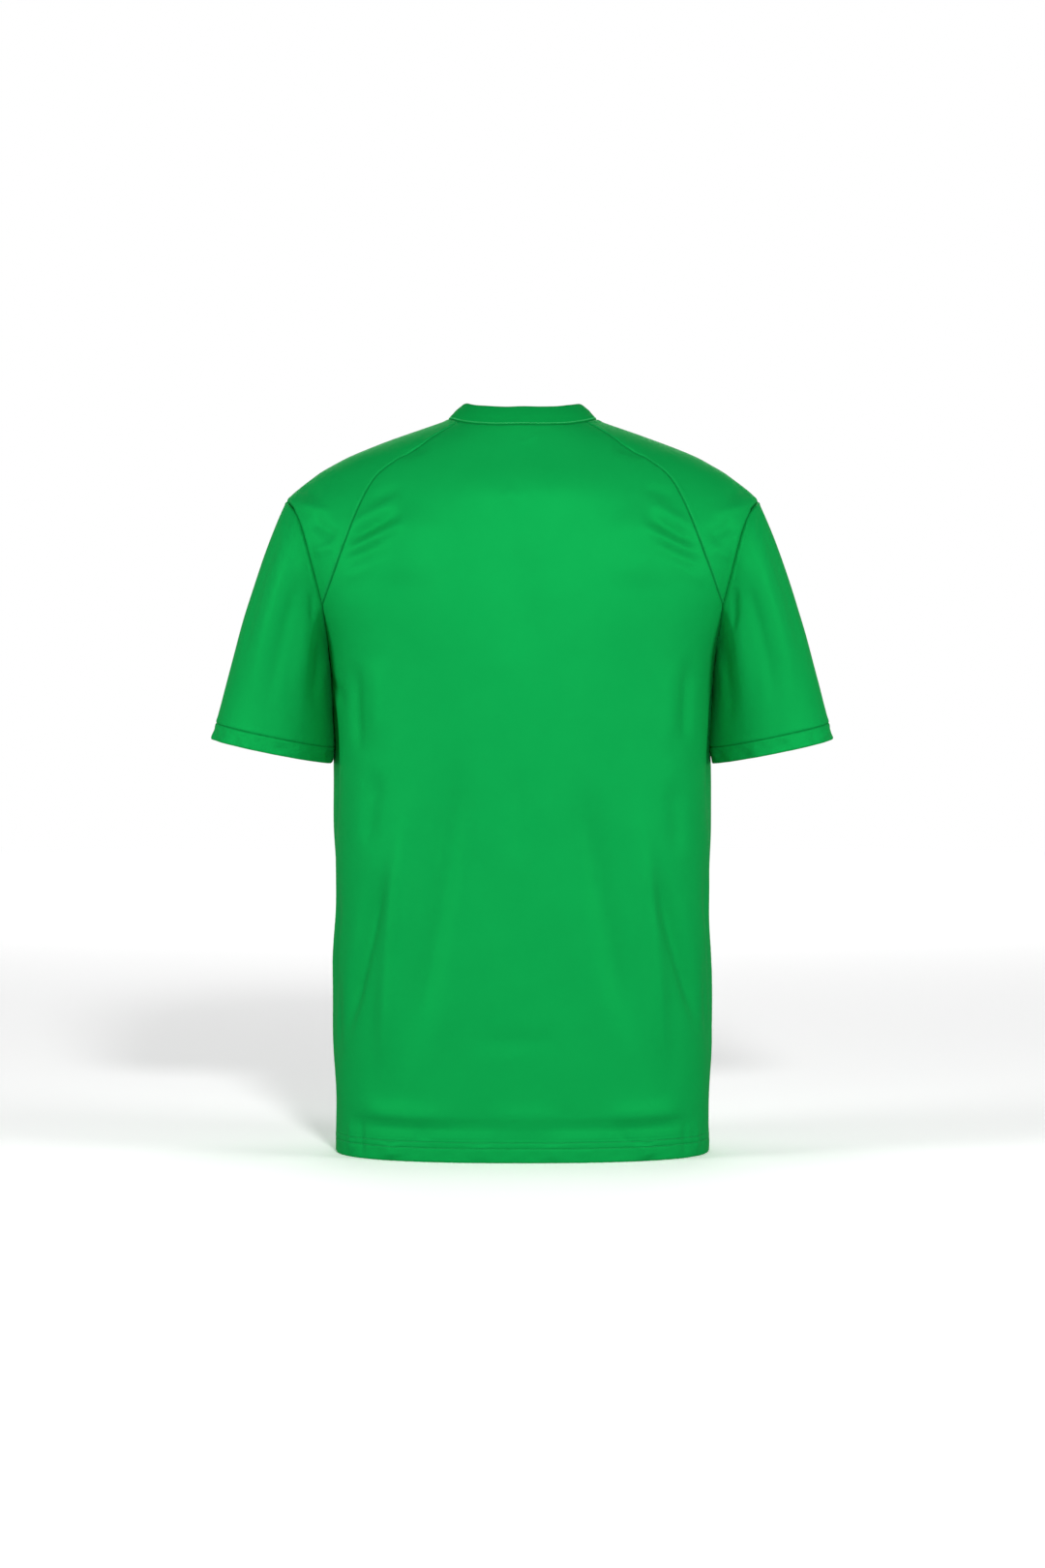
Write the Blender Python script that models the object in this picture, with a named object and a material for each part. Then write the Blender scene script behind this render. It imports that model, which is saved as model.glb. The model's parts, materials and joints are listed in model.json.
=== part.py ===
"""Short-sleeved football jersey, standing hollow as if worn.

The garment faces -Y, its back is +Y, the wearer's left is +X and up is +Z.
The origin is the middle of the neck base, where the wearer's neck and
shoulders hold the garment up.  Lengths in the tables are millimetres and
heights are measured up from a datum 12 mm below the hem; everything is built
in metres.
"""

import math

import bpy
import numpy as np

# ------------------------------------------------------------ driving sizes
MM = 0.001
NECK_BASE = 720.0        # height of the back neck seam above the datum
HEM_HEIGHT = 12.0
WALL = 2.0               # cloth wall of the panels, sleeves and cuffs
RIB_WALL = 2.4           # doubled rib of the collar
SEAM_GAP = 0.3           # between two pieces at a seam
COLLAR_WIDTH = 22.0      # seam to folded edge, along the band
ARMPIT_HEIGHT = 492.0
JUNCTION_HEIGHT = 545.0  # where a raglan seam meets the armhole

# Horizontal sections of the body.  The outline of each is
# |x / half_width|^squareness + |y / depth|^squareness = 1, with one depth
# behind the side seams and another in front of them.  Between the armpit and
# the shoulder point the armhole cuts the sides of the sections away.
SECTION_COLUMNS = ("height", "half_width", "back_depth", "front_depth", "squareness")
SECTIONS = (
    (0.0, 181.7, 133.0, 128.0, 2.45),
    (90.0, 181.7, 133.0, 128.0, 2.45),
    (180.0, 181.7, 133.0, 127.5, 2.45),
    (270.0, 181.7, 133.0, 127.0, 2.45),
    (350.0, 181.7, 132.8, 126.6, 2.45),
    (404.0, 181.8, 132.4, 126.0, 2.44),
    (440.0, 182.8, 132.0, 125.5, 2.45),
    (470.0, 184.6, 131.6, 125.0, 2.46),
    (492.0, 187.4, 131.2, 124.3, 2.48),
    (506.0, 190.2, 130.8, 123.6, 2.51),
    (529.0, 197.4, 129.8, 121.8, 2.57),
    (545.0, 204.2, 128.8, 119.8, 2.58),
    (563.0, 212.8, 127.2, 116.8, 2.54),
    (588.0, 224.6, 124.0, 111.3, 2.44),
    (608.0, 231.6, 121.0, 104.8, 2.32),
    (625.0, 234.2, 117.6, 97.2, 2.20),
    (637.0, 232.2, 114.4, 90.6, 2.10),
    (644.0, 229.0, 112.2, 86.3, 2.06),
    (655.0, 218.0, 108.2, 79.4, 2.03),
    (664.0, 206.5, 104.0, 74.2, 2.02),
    (671.4, 196.6, 100.2, 70.1, 2.00),
    (679.6, 182.6, 95.0, 65.2, 2.00),
    (686.0, 171.0, 90.2, 61.4, 2.00),
    (696.5, 145.4, 81.6, 55.0, 2.00),
    (706.3, 118.5, 72.8, 48.8, 1.96),
    (715.6, 92.4, 63.6, 41.6, 1.90),
    (720.0, 80.0, 58.8, 37.2, 1.86),
    (724.0, 71.2, 54.0, 33.0, 1.84),
    (728.0, 63.6, 48.8, 28.8, 1.84),
)

# Seams drawn on the body, as distance from the centre line and height.
SEAM_COLUMNS = ("from_centre", "height")
BACK_RAGLAN = (
    (79.0, 711.8), (92.0, 703.8), (105.0, 696.0), (118.5, 687.6),
    (131.0, 678.9), (141.0, 669.8), (148.2, 659.6), (154.8, 647.0), (162.2, 630.5),
    (169.6, 611.5), (177.8, 589.0), (185.2, 568.5), (193.6, 545.0),
)
FRONT_RAGLAN = (
    (76.0, 684.0), (91.0, 675.5), (105.0, 666.5), (117.5, 656.5),
    (129.0, 644.5), (139.5, 630.0), (150.0, 612.0), (161.0, 590.5), (173.0, 567.5),
    (191.0, 545.0),
)
BACK_ARMHOLE = (
    (187.4, 492.0), (188.6, 506.0), (191.4, 527.0), (193.6, 545.0), (198.4, 563.5),
    (204.0, 586.0), (209.2, 606.0), (215.0, 624.0), (221.6, 636.0), (226.6, 641.6),
    (229.0, 644.0),
)
FRONT_ARMHOLE = (
    (187.4, 492.0), (188.0, 506.0), (189.4, 527.0), (191.0, 545.0), (195.0, 563.5),
    (200.4, 585.0), (206.4, 605.0), (213.2, 622.5), (220.6, 635.4), (226.2, 641.6),
    (229.0, 644.0),
)

# The neck seam in plan: a squared circle round the neck, drawn on the body.
NECK_CENTRE_Y = -13.0
NECK_HALF_WIDTH = 72.3
NECK_HALF_DEPTH = 72.2
NECK_SQUARENESS = 2.22
BACK_RAGLAN_TURN = 26.0    # where the raglans meet the neck, in degrees round it:
FRONT_RAGLAN_TURN = -41.0  # 90 is the centre back, 0 the wearer's left

# The inward lean of the collar band, by direction round the neck.
LEAN_COLUMNS = ("direction", "lean")
COLLAR_LEAN = (
    (-90.0, 29.0), (-66.0, 33.0), (-44.0, 39.0), (-20.0, 45.0), (0.0, 47.0),
    (22.0, 42.0), (45.0, 37.5), (68.0, 37.0), (90.0, 37.0),
)

# The two rings of a sleeve's cuff: centre, half sizes and outward tilt.
RING_COLUMNS = ("centre_x", "centre_y", "height", "half_width", "half_depth", "tilt")
CUFF_SEAM = (241.4, -6.0, 416.6, 58.2, 56.0, 11.8)
CUFF_EDGE = (244.6, -7.0, 401.0, 59.3, 57.0, 11.4)

# Largest folds of the cloth: a soft trough (negative) or ridge along a line.
FOLD_COLUMNS = ("side", "x0", "h0", "x1", "h1", "half_width", "depth")
FOLDS = (
    ("back", 129.0, 272.0, 168.0, 128.0, 17.0, -3.0),
    ("back", 112.0, 300.0, 132.0, 96.0, 22.0, 1.8),
    ("back", 92.0, 330.0, 112.0, 120.0, 22.0, -2.2),
    ("front", 122.0, 292.0, 162.0, 140.0, 18.0, -2.6),
    ("front", 88.0, 350.0, 108.0, 110.0, 24.0, -2.0),
)

# Numbers of cells along each edge.
CELLS_ACROSS = 20        # centre panels, side to side
CELLS_SIDE = 8           # side seam, hem to armpit
CELLS_UNDER = 3          # armhole, armpit to raglan
CELLS_RAGLAN = 8         # raglan, neck to armhole
CELLS_OVER = 14          # shoulder panel, back to front
CELLS_SLEEVE = 8         # sleeve, armhole to cuff
CELLS_COLLAR = 2

COLOURS = {              # base colour, roughness, metallic
    "jersey": ((0.006, 0.36, 0.07, 1.0), 0.62, 0.0),
    "rib": ((0.005, 0.31, 0.06, 1.0), 0.70, 0.0),
}


# ------------------------------------------------------------------ curves
def smooth(xs, ys, x):
    """Akima's curve through a table's column, which doesn't overshoot."""
    xs, ys = np.asarray(xs, float), np.asarray(ys, float)
    slope = np.diff(ys) / np.diff(xs)
    first, last = 2 * slope[0] - slope[1], 2 * slope[-1] - slope[-2]
    slope = np.concatenate([[2 * first - slope[0], first], slope, [last, 2 * last - slope[-1]]])
    left = np.abs(slope[3:] - slope[2:-1])
    right = np.abs(slope[1:-2] - slope[:-3])
    both = left + right
    tangent = np.where(
        both > 1e-9,
        (left * slope[1:-2] + right * slope[2:-1]) / np.maximum(both, 1e-9),
        0.5 * (slope[1:-2] + slope[2:-1]),
    )
    x = np.clip(np.asarray(x, float), xs[0], xs[-1])
    i = np.clip(np.searchsorted(xs, x, side="right") - 1, 0, len(xs) - 2)
    w = xs[i + 1] - xs[i]
    s = (x - xs[i]) / w
    return (
        ys[i] * (1 + 2 * s) * (1 - s) ** 2
        + tangent[i] * w * s * (1 - s) ** 2
        + ys[i + 1] * s * s * (3 - 2 * s)
        + tangent[i + 1] * w * s * s * (s - 1)
    )


def column(table, columns, name):
    return np.array([row[columns.index(name)] for row in table], float)


HEIGHTS = column(SECTIONS, SECTION_COLUMNS, "height")


def section(h, name):
    return smooth(HEIGHTS, column(SECTIONS, SECTION_COLUMNS, name), h)


def smooth_path(points, count, measure):
    """count + 1 points evenly spaced by measure along the curve through a table."""
    points = np.asarray(points, float)
    knots = np.concatenate([[0], np.cumsum(np.linalg.norm(np.diff(points, axis=0), axis=1))])
    fine = np.linspace(0, knots[-1], 400)
    path = np.stack([smooth(knots, points[:, k], fine) for k in range(points.shape[1])], 1)
    place = measure(path)
    run = np.concatenate([[0], np.cumsum(np.linalg.norm(np.diff(place, axis=0), axis=1))])
    at = np.linspace(0, run[-1], count + 1)
    return np.stack([np.interp(at, run, path[:, k]) for k in range(points.shape[1])], 1)


# ------------------------------------------------------------- body surface
def fold_height(x, h, back):
    total = np.zeros_like(x)
    for side, x0, h0, x1, h1, half_width, depth in FOLDS:
        along = np.array([x1 - x0, h1 - h0])
        length = np.linalg.norm(along)
        along = along / length
        s = ((np.abs(x) - x0) * along[0] + (h - h0) * along[1]) / length
        off = (np.abs(x) - x0) * along[1] - (h - h0) * along[0]
        taper = np.clip(np.minimum(s, 1 - s) / 0.35 + 0.35, 0, 1)
        taper = taper * taper * (3 - 2 * taper)
        on_side = back if side == "back" else ~back
        total = total + np.where(on_side, depth * taper * np.exp(-((off / half_width) ** 2)), 0)
    return total


def body(direction, h):
    """The point of the body's surface in a direction round the axis, at a height."""
    w, n = section(h, "half_width"), section(h, "squareness")
    d = np.where(np.sin(direction) >= 0, section(h, "back_depth"), section(h, "front_depth"))
    c, s = np.cos(direction), np.sin(direction)
    r = (np.abs(c / w) ** n + np.abs(s / d) ** n) ** (-1 / n)
    r = r + fold_height(r * c, h, s >= 0)
    return np.stack([r * c, r * s, np.broadcast_to(h, r.shape)], -1)


def body_normal(direction, h):
    a = body(direction + 1e-3, h) - body(direction - 1e-3, h)
    b = body(direction, h + 0.4) - body(direction, h - 0.4)
    normal = np.cross(a, b)
    return normal / np.linalg.norm(normal, axis=-1, keepdims=True)


def direction_at(x, h, back):
    """The direction of a point drawn at x and h on the back or on the front."""
    w, n = section(h, "half_width"), section(h, "squareness")
    d = section(h, "back_depth" if back else "front_depth")
    y = d * np.maximum(1 - np.clip(x / w, 0, 1) ** n, 0) ** (1 / n)
    return np.arctan2(y if back else -y, x)


def drawn(points, back):
    """A table of x and h as directions and heights, 3 points for each of its gaps."""
    points = np.asarray(points, float)
    run = np.arange(len(points), dtype=float)
    fine = np.linspace(0, len(points) - 1, 3 * (len(points) - 1) + 1)
    x, h = smooth(run, points[:, 0], fine), smooth(run, points[:, 1], fine)
    return np.stack([direction_at(x, h, back), h], 1)


def on_body(path):
    return body(path[:, 0], path[:, 1])


def neck_point(turn):
    """The neck seam at a turn in degrees: its direction round the axis and its height."""
    around = np.linspace(-math.pi / 2, math.pi / 2, 361)
    c, s = np.cos(around), np.sin(around)
    r = (np.abs(c / NECK_HALF_WIDTH) ** NECK_SQUARENESS
         + np.abs(s / NECK_HALF_DEPTH) ** NECK_SQUARENESS) ** (-1 / NECK_SQUARENESS)
    x, y = r * c, NECK_CENTRE_Y + r * s
    direction = np.radians(np.asarray(turn, float))
    reach = np.interp(direction, np.arctan2(y, x), np.hypot(x, y))
    levels = np.linspace(HEIGHTS[-1], 600.0, 1200)
    found = []
    for d, wanted in zip(np.atleast_1d(direction), np.atleast_1d(reach)):
        ring = body(np.full_like(levels, d), levels)
        found.append(np.interp(wanted, np.hypot(ring[:, 0], ring[:, 1]), levels))
    return np.stack([np.atleast_1d(direction), np.array(found)], 1)


def neck_path(start, end, count):
    """The neck seam between two turns, as directions and heights."""
    return smooth_path(neck_point(np.linspace(start, end, 90)), count, on_body)


def collar_lean(direction):
    turn = np.degrees(np.arctan2(np.sin(direction), np.abs(np.cos(direction))))
    return np.radians(
        smooth(column(COLLAR_LEAN, LEAN_COLUMNS, "direction"), column(COLLAR_LEAN, LEAN_COLUMNS, "lean"), turn)
    )


def seams():
    """Every seam of the wearer's left, as directions and heights."""
    split_b = [row for row in BACK_ARMHOLE if row[1] <= JUNCTION_HEIGHT]
    split_f = [row for row in FRONT_ARMHOLE if row[1] <= JUNCTION_HEIGHT]
    over_b = [row for row in BACK_ARMHOLE if row[1] >= JUNCTION_HEIGHT]
    over_f = [row for row in FRONT_ARMHOLE if row[1] >= JUNCTION_HEIGHT]
    over = np.concatenate([drawn(over_b, True), drawn(over_f, False)[::-1][1:]])
    back_raglan = np.concatenate([neck_point(BACK_RAGLAN_TURN), drawn(BACK_RAGLAN, True)])
    front_raglan = np.concatenate([neck_point(FRONT_RAGLAN_TURN), drawn(FRONT_RAGLAN, False)])
    found = {
        "back_raglan": smooth_path(back_raglan, CELLS_RAGLAN, on_body),
        "front_raglan": smooth_path(front_raglan, CELLS_RAGLAN, on_body),
        "under_back": smooth_path(drawn(split_b, True), CELLS_UNDER, on_body),
        "under_front": smooth_path(drawn(split_f, False), CELLS_UNDER, on_body),
        "over": smooth_path(over, CELLS_OVER, on_body),
        "neck_side": neck_path(BACK_RAGLAN_TURN, FRONT_RAGLAN_TURN, CELLS_OVER),
        "neck_back": neck_path(BACK_RAGLAN_TURN, 90.0, CELLS_ACROSS // 2),
        "neck_front": neck_path(FRONT_RAGLAN_TURN, -90.0, CELLS_ACROSS // 2),
    }
    # Where seams meet, they share one point.
    for raglan, neck_end, hole_end in (
        ("back_raglan", found["neck_side"][0], found["over"][0]),
        ("front_raglan", found["neck_side"][-1], found["over"][-1]),
    ):
        found[raglan][0], found[raglan][-1] = neck_end, hole_end
    found["under_back"][-1], found["under_front"][-1] = found["over"][0], found["over"][-1]
    found["under_back"][0] = found["under_front"][0] = (0.0, ARMPIT_HEIGHT)
    found["neck_back"][0], found["neck_front"][0] = found["neck_side"][0], found["neck_side"][-1]
    return found


def coons(left, right, bottom, top):
    """A patch of directions and heights between four edges, [along left][along bottom]."""
    v = np.linspace(0, 1, len(left))[:, None, None]
    u = np.linspace(0, 1, len(bottom))[None, :, None]
    # Rows keep to the spacing of the left edge.
    run = np.concatenate([[0], np.cumsum(np.linalg.norm(np.diff(on_body(left), axis=0), axis=1))])
    v = (run / run[-1])[:, None, None]
    return (
        (1 - u) * left[:, None] + u * right[:, None]
        + (1 - v) * bottom[None] + v * top[None]
        - (1 - u) * (1 - v) * left[0] - u * (1 - v) * right[0]
        - (1 - u) * v * left[-1] - u * v * right[-1]
    )


def draw_in(grid, edges, gap):
    """Moves the seam edges of a patch in from the seam, square to it, by gap."""
    point = body(grid[..., 0], grid[..., 1])
    normal = body_normal(grid[..., 0], grid[..., 1])
    rows, cols = grid.shape[:2]
    wanted = {}
    for edge in edges:
        index = {
            "left": [(i, 0) for i in range(rows)], "right": [(i, cols - 1) for i in range(rows)],
            "bottom": [(0, j) for j in range(cols)], "top": [(rows - 1, j) for j in range(cols)],
        }[edge]
        step = {"left": (0, 1), "right": (0, -1), "bottom": (1, 0), "top": (-1, 0)}[edge]
        line = np.array([point[i] for i in index])
        tangent = np.gradient(line, axis=0)
        for (i, j), t in zip(index, tangent):
            t = t / np.linalg.norm(t)
            inward = np.cross(normal[i, j], t)
            if np.dot(inward, point[i + step[0], j + step[1]] - point[i, j]) < 0:
                inward = -inward
            wanted.setdefault((i, j), []).append(inward)
    moved = grid.copy()
    for (i, j), inwards in wanted.items():
        d_turn = (body(grid[i, j, 0] + 1e-4, grid[i, j, 1]) - point[i, j]) / 1e-4
        d_h = (body(grid[i, j, 0], grid[i, j, 1] + 1e-2) - point[i, j]) / 1e-2
        system = np.array([[np.dot(a, d_turn), np.dot(a, d_h)] for a in inwards])
        moved[i, j] += np.linalg.lstsq(system, np.full(len(inwards), gap), rcond=None)[0]
    return moved


# ------------------------------------------------------------------- sleeve
def ring_point(ring, turn):
    """A cuff ring's point: turn 0 is the outer side, 90 the back, 180 the inner side."""
    cx, cy, h, half_width, half_depth, tilt = ring
    t = math.radians(tilt)
    c, s = np.cos(turn), np.sin(turn)
    return np.stack(
        [cx + half_width * c * math.cos(t), cy + half_depth * s, h + half_width * c * math.sin(t)], -1
    )


def ring_normal(ring, turn):
    t = math.radians(ring[5])
    c, s = np.cos(turn) / ring[3], np.sin(turn) / ring[4]
    n = np.stack([c * math.cos(t), s, c * math.sin(t)], -1)
    return n / np.linalg.norm(n, axis=-1, keepdims=True)


def armhole_loop(found):
    """Points, outward normals and outward tangents of the armhole, from its top round the back."""
    over, under_b, under_f = found["over"], found["under_back"], found["under_front"]
    top = CELLS_OVER // 2
    path = np.concatenate([over[top::-1], under_b[::-1][1:], under_f[1:], over[-2:top:-1]])
    point = on_body(path)
    normal = body_normal(path[:, 0], path[:, 1])
    tangent = np.roll(point, -1, 0) - np.roll(point, 1, 0)
    tangent /= np.linalg.norm(tangent, axis=1, keepdims=True)
    outward = np.cross(tangent, normal)
    centre = point.mean(0)
    outward *= np.sign(np.einsum("ij,ij->i", outward, centre - point))[:, None]
    return point, normal, outward


def loop_turns(point):
    """Each loop point's turn round the sleeve: top 0, armpit 180, by length along the seam."""
    step = np.linalg.norm(np.roll(point, -1, 0) - point, axis=1)
    bottom = int(np.argmin(point[:, 2]))
    run = np.concatenate([[0], np.cumsum(step)])
    turns = np.where(
        np.arange(len(point)) <= bottom,
        math.pi * run[:-1] / run[bottom],
        math.pi + math.pi * (run[:-1] - run[bottom]) / (run[-1] - run[bottom]),
    )
    return turns


# How far a sleeve's lines lean out of the seam, by the turn round the sleeve.
CAP_COLUMNS = ("turn", "out_x", "out_y", "down", "reach", "landing")
CAP = (
    (0.0, 0.42, 0.00, -0.91, 150.0, 190.0),
    (45.0, 0.62, 0.52, -0.60, 120.0, 190.0),
    (90.0, 0.66, 0.14, -0.74, 110.0, 190.0),
    (135.0, 0.34, 0.10, -0.94, 100.0, 110.0),
    (180.0, 0.09, 0.00, -1.00, 110.0, 60.0),
)


def cap_value(turn, name):
    turn = np.degrees(turn)
    turn = np.where(turn > 180, 360 - turn, turn)
    return smooth(column(CAP, CAP_COLUMNS, "turn"), column(CAP, CAP_COLUMNS, name), turn)


def sleeve_lines(start, turns, rows):
    """The sleeve's surface: [row from armhole to cuff seam][place round the sleeve]."""
    end = ring_point(CUFF_SEAM, turns)
    side = np.where(turns > math.pi, -1.0, 1.0)
    leave = np.stack(
        [cap_value(turns, "out_x"), side * cap_value(turns, "out_y"), cap_value(turns, "down")], 1
    )
    leave /= np.linalg.norm(leave, axis=1, keepdims=True)
    chord = end - start
    chord /= np.linalg.norm(chord, axis=1, keepdims=True)
    t = math.radians(CUFF_SEAM[5])
    axis = np.array([math.sin(t), 0.0, -math.cos(t)])
    arrive = 0.55 * chord + 0.45 * axis
    arrive /= np.linalg.norm(arrive, axis=1, keepdims=True)
    a = leave * cap_value(turns, "reach")[:, None]
    b = arrive * cap_value(turns, "landing")[:, None]
    s = np.linspace(0, 1, rows + 1)[:, None, None]
    return (
        (1 + 2 * s) * (1 - s) ** 2 * start + s * (1 - s) ** 2 * a
        + s * s * (3 - 2 * s) * end + s * s * (s - 1) * b
    )


def tube_normals(rows):
    """Outward normals of a closed tube given as [row][place round]."""
    around = np.roll(rows, -1, 1) - np.roll(rows, 1, 1)
    along = np.gradient(rows, axis=0)
    normal = np.cross(around, along)
    centre = rows.mean(1, keepdims=True)
    normal /= np.linalg.norm(normal, axis=2, keepdims=True)
    return normal * np.sign(np.einsum("ijk,ijk->ij", normal, rows - centre).sum())


# ------------------------------------------------------------------- solids
def clear_scene():
    for obj in list(bpy.data.objects):
        bpy.data.objects.remove(obj, do_unlink=True)


def material(name):
    found = bpy.data.materials.get(name)
    if found:
        return found
    made = bpy.data.materials.new(name)
    made.use_nodes = True
    shader = made.node_tree.nodes["Principled BSDF"]
    colour, roughness, metallic = COLOURS[name.split(".")[0]]
    shader.inputs["Base Color"].default_value = colour
    shader.inputs["Roughness"].default_value = roughness
    shader.inputs["Metallic"].default_value = metallic
    made.diffuse_color = colour
    return made


def add_solid(name, outer, inner, closed, finish):
    """A wall between two grids of points in millimetres, with its rim; closed round if a tube."""
    rows, cols = outer.shape[:2]
    points = np.concatenate([outer.reshape(-1, 3), inner.reshape(-1, 3)])
    points[:, 2] -= NECK_BASE
    other = rows * cols
    faces = []
    last = cols if closed else cols - 1
    for i in range(rows - 1):
        for j in range(last):
            a, b = i * cols + j, i * cols + (j + 1) % cols
            c, d = b + cols, a + cols
            faces.append((a, b, c, d))
            faces.append((other + d, other + c, other + b, other + a))
    for j in range(last):
        a, b = j, (j + 1) % cols
        faces.append((b, a, other + a, other + b))
        a, b = (rows - 1) * cols + j, (rows - 1) * cols + (j + 1) % cols
        faces.append((a, b, other + b, other + a))
    if not closed:
        for i in range(rows - 1):
            a, b = i * cols, (i + 1) * cols
            faces.append((a, b, other + b, other + a))
            a, b = i * cols + cols - 1, (i + 1) * cols + cols - 1
            faces.append((b, a, other + a, other + b))
    mesh = bpy.data.meshes.new(name)
    mesh.from_pydata([tuple(p * MM) for p in points], [], faces)
    mesh.validate()
    # Faces point out of the cloth.
    volume = 0.0
    for polygon in mesh.polygons:
        corner = [np.array(mesh.vertices[k].co) for k in polygon.vertices]
        for k in range(1, len(corner) - 1):
            volume += float(np.dot(corner[0], np.cross(corner[k], corner[k + 1])))
    if volume < 0:
        mesh.flip_normals()
    mesh.shade_smooth()
    mesh.set_sharp_from_angle(angle=math.radians(40))
    obj = bpy.data.objects.new(name, mesh)
    bpy.context.scene.collection.objects.link(obj)
    mesh.materials.append(material(finish + "." + name))
    obj.parent = bpy.data.objects["jersey_frame"]
    return obj


def mirrored(grid):
    return grid * np.array([-1.0, 1.0, 1.0])


def far_side(path):
    """The same seam on the wearer's right."""
    return np.stack([math.pi - path[:, 0], path[:, 1]], 1)


def across(half):
    """A seam from the wearer's left to the centre, carried on to the wearer's right."""
    return np.concatenate([half, far_side(half)[::-1][1:]])


def centre_panel(found, back):
    way = 1.0 if back else -1.0
    raglan = found["back_raglan" if back else "front_raglan"]
    under = found["under_back" if back else "under_front"]
    neck = found["neck_back" if back else "neck_front"]
    side = np.stack(
        [np.zeros(CELLS_SIDE + 1), np.linspace(HEM_HEIGHT, ARMPIT_HEIGHT, CELLS_SIDE + 1)], 1
    )
    left = np.concatenate([side, under[1:], raglan[::-1][1:]])
    right = np.stack([way * math.pi - left[:, 0], left[:, 1]], 1)
    hem = np.stack(
        [way * np.linspace(0, math.pi, CELLS_ACROSS + 1), np.full(CELLS_ACROSS + 1, HEM_HEIGHT)], 1
    )
    top = np.concatenate([neck, np.stack([way * math.pi - neck[:, 0], neck[:, 1]], 1)[::-1][1:]])
    grid = draw_in(coons(left, right, hem, top), ("left", "right", "top"), SEAM_GAP / 2)
    outer = body(grid[..., 0], grid[..., 1])
    inner = outer - WALL * body_normal(grid[..., 0], grid[..., 1])
    return outer, inner


def shoulder_panel(found):
    grid = coons(
        found["back_raglan"], found["front_raglan"], found["neck_side"], found["over"]
    )
    grid = draw_in(grid, ("left", "right", "top", "bottom"), SEAM_GAP / 2)
    outer = body(grid[..., 0], grid[..., 1])
    inner = outer - WALL * body_normal(grid[..., 0], grid[..., 1])
    return outer, inner


def sleeve(found):
    point, normal, outward = armhole_loop(found)
    turns = loop_turns(point)
    start = point + SEAM_GAP * (outward + normal)
    outer = sleeve_lines(start, turns, CELLS_SLEEVE)
    last = ring_normal(CUFF_SEAM, turns)
    t = math.radians(CUFF_SEAM[5])
    axis = np.array([math.sin(t), 0.0, -math.cos(t)])
    outer[-1] -= SEAM_GAP / 2 * axis
    normals = tube_normals(outer)
    # The first ring's rim doesn't reach back into the body's wall.
    into = np.maximum(-np.einsum("ij,ij->i", -normals[0], outward), 0)[:, None]
    normals[0] -= into * outward
    normals[0] /= np.linalg.norm(normals[0], axis=1, keepdims=True)
    normals[-1] = last
    return outer, outer - WALL * normals, turns


def cuff(turns):
    seam, edge = ring_point(CUFF_SEAM, turns), ring_point(CUFF_EDGE, turns)
    t = math.radians(CUFF_SEAM[5])
    seam = seam + SEAM_GAP / 2 * np.array([math.sin(t), 0.0, -math.cos(t)])
    outer = np.stack([seam, 0.5 * (seam + edge), edge])
    first, last = ring_normal(CUFF_SEAM, turns), ring_normal(CUFF_EDGE, turns)
    normals = np.stack([first, 0.5 * (first + last), last])
    normals /= np.linalg.norm(normals, axis=2, keepdims=True)
    return outer, outer - WALL * normals


def collar(found):
    back, side, front = found["neck_back"], found["neck_side"], found["neck_front"]
    left = np.concatenate([back[::-1], side[1:], front[1:]])
    right = far_side(left)[::-1][1:-1]
    path = np.concatenate([left, right])
    base = on_body(path)
    normal = body_normal(path[:, 0], path[:, 1])
    lean = collar_lean(path[:, 0])
    inward = np.stack([-base[:, 0], NECK_CENTRE_Y - base[:, 1], np.zeros(len(base))], 1)
    inward /= np.linalg.norm(inward, axis=1, keepdims=True)
    up = np.array([0.0, 0.0, 1.0])
    along = np.sin(lean)[:, None] * inward + np.cos(lean)[:, None] * up
    tangent = np.roll(base, -1, 0) - np.roll(base, 1, 0)
    tangent /= np.linalg.norm(tangent, axis=1, keepdims=True)
    across_seam = np.cross(tangent, normal)
    across_seam *= np.sign(np.einsum("ij,ij->i", across_seam, inward))[:, None]
    start = base + SEAM_GAP / 2 * across_seam
    rows = []
    for k in range(CELLS_COLLAR + 1):
        s = k / CELLS_COLLAR
        bow = 1.2 * math.sin(math.pi * s)
        rows.append(start + COLLAR_WIDTH * s * along + bow * (np.cos(lean)[:, None] * -inward + np.sin(lean)[:, None] * up))
    outer = np.stack(rows)
    normals = tube_normals(outer)
    up_part = np.einsum("ij,ij->i", normals[0], across_seam)
    normals[0] -= np.maximum(up_part, 0)[:, None] * across_seam
    normals[0] /= np.linalg.norm(normals[0], axis=1, keepdims=True)
    return outer, outer - RIB_WALL * normals


def build():
    clear_scene()
    frame = bpy.data.objects.new("jersey_frame", None)
    bpy.context.scene.collection.objects.link(frame)
    found = seams()
    add_solid("back_panel", *centre_panel(found, True), False, "jersey")
    add_solid("front_panel", *centre_panel(found, False), False, "jersey")
    outer, inner = shoulder_panel(found)
    add_solid("shoulder_panel_l", outer, inner, False, "jersey")
    add_solid("shoulder_panel_r", mirrored(outer), mirrored(inner), False, "jersey")
    outer, inner, turns = sleeve(found)
    add_solid("sleeve_l", outer, inner, True, "jersey")
    add_solid("sleeve_r", mirrored(outer), mirrored(inner), True, "jersey")
    outer, inner = cuff(turns)
    add_solid("cuff_l", outer, inner, True, "jersey")
    add_solid("cuff_r", mirrored(outer), mirrored(inner), True, "jersey")
    add_solid("collar", *collar(found), True, "rib")


build()
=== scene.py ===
"""Football jersey, standing hollow as if worn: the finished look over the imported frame.

The garment faces -Y, its back is +Y, the wearer's left is +X and up is +Z.
Lengths in the tables are millimetres and heights are measured up from a datum
12 mm below the hem; everything is built in metres.
"""

import json
import math

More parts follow.
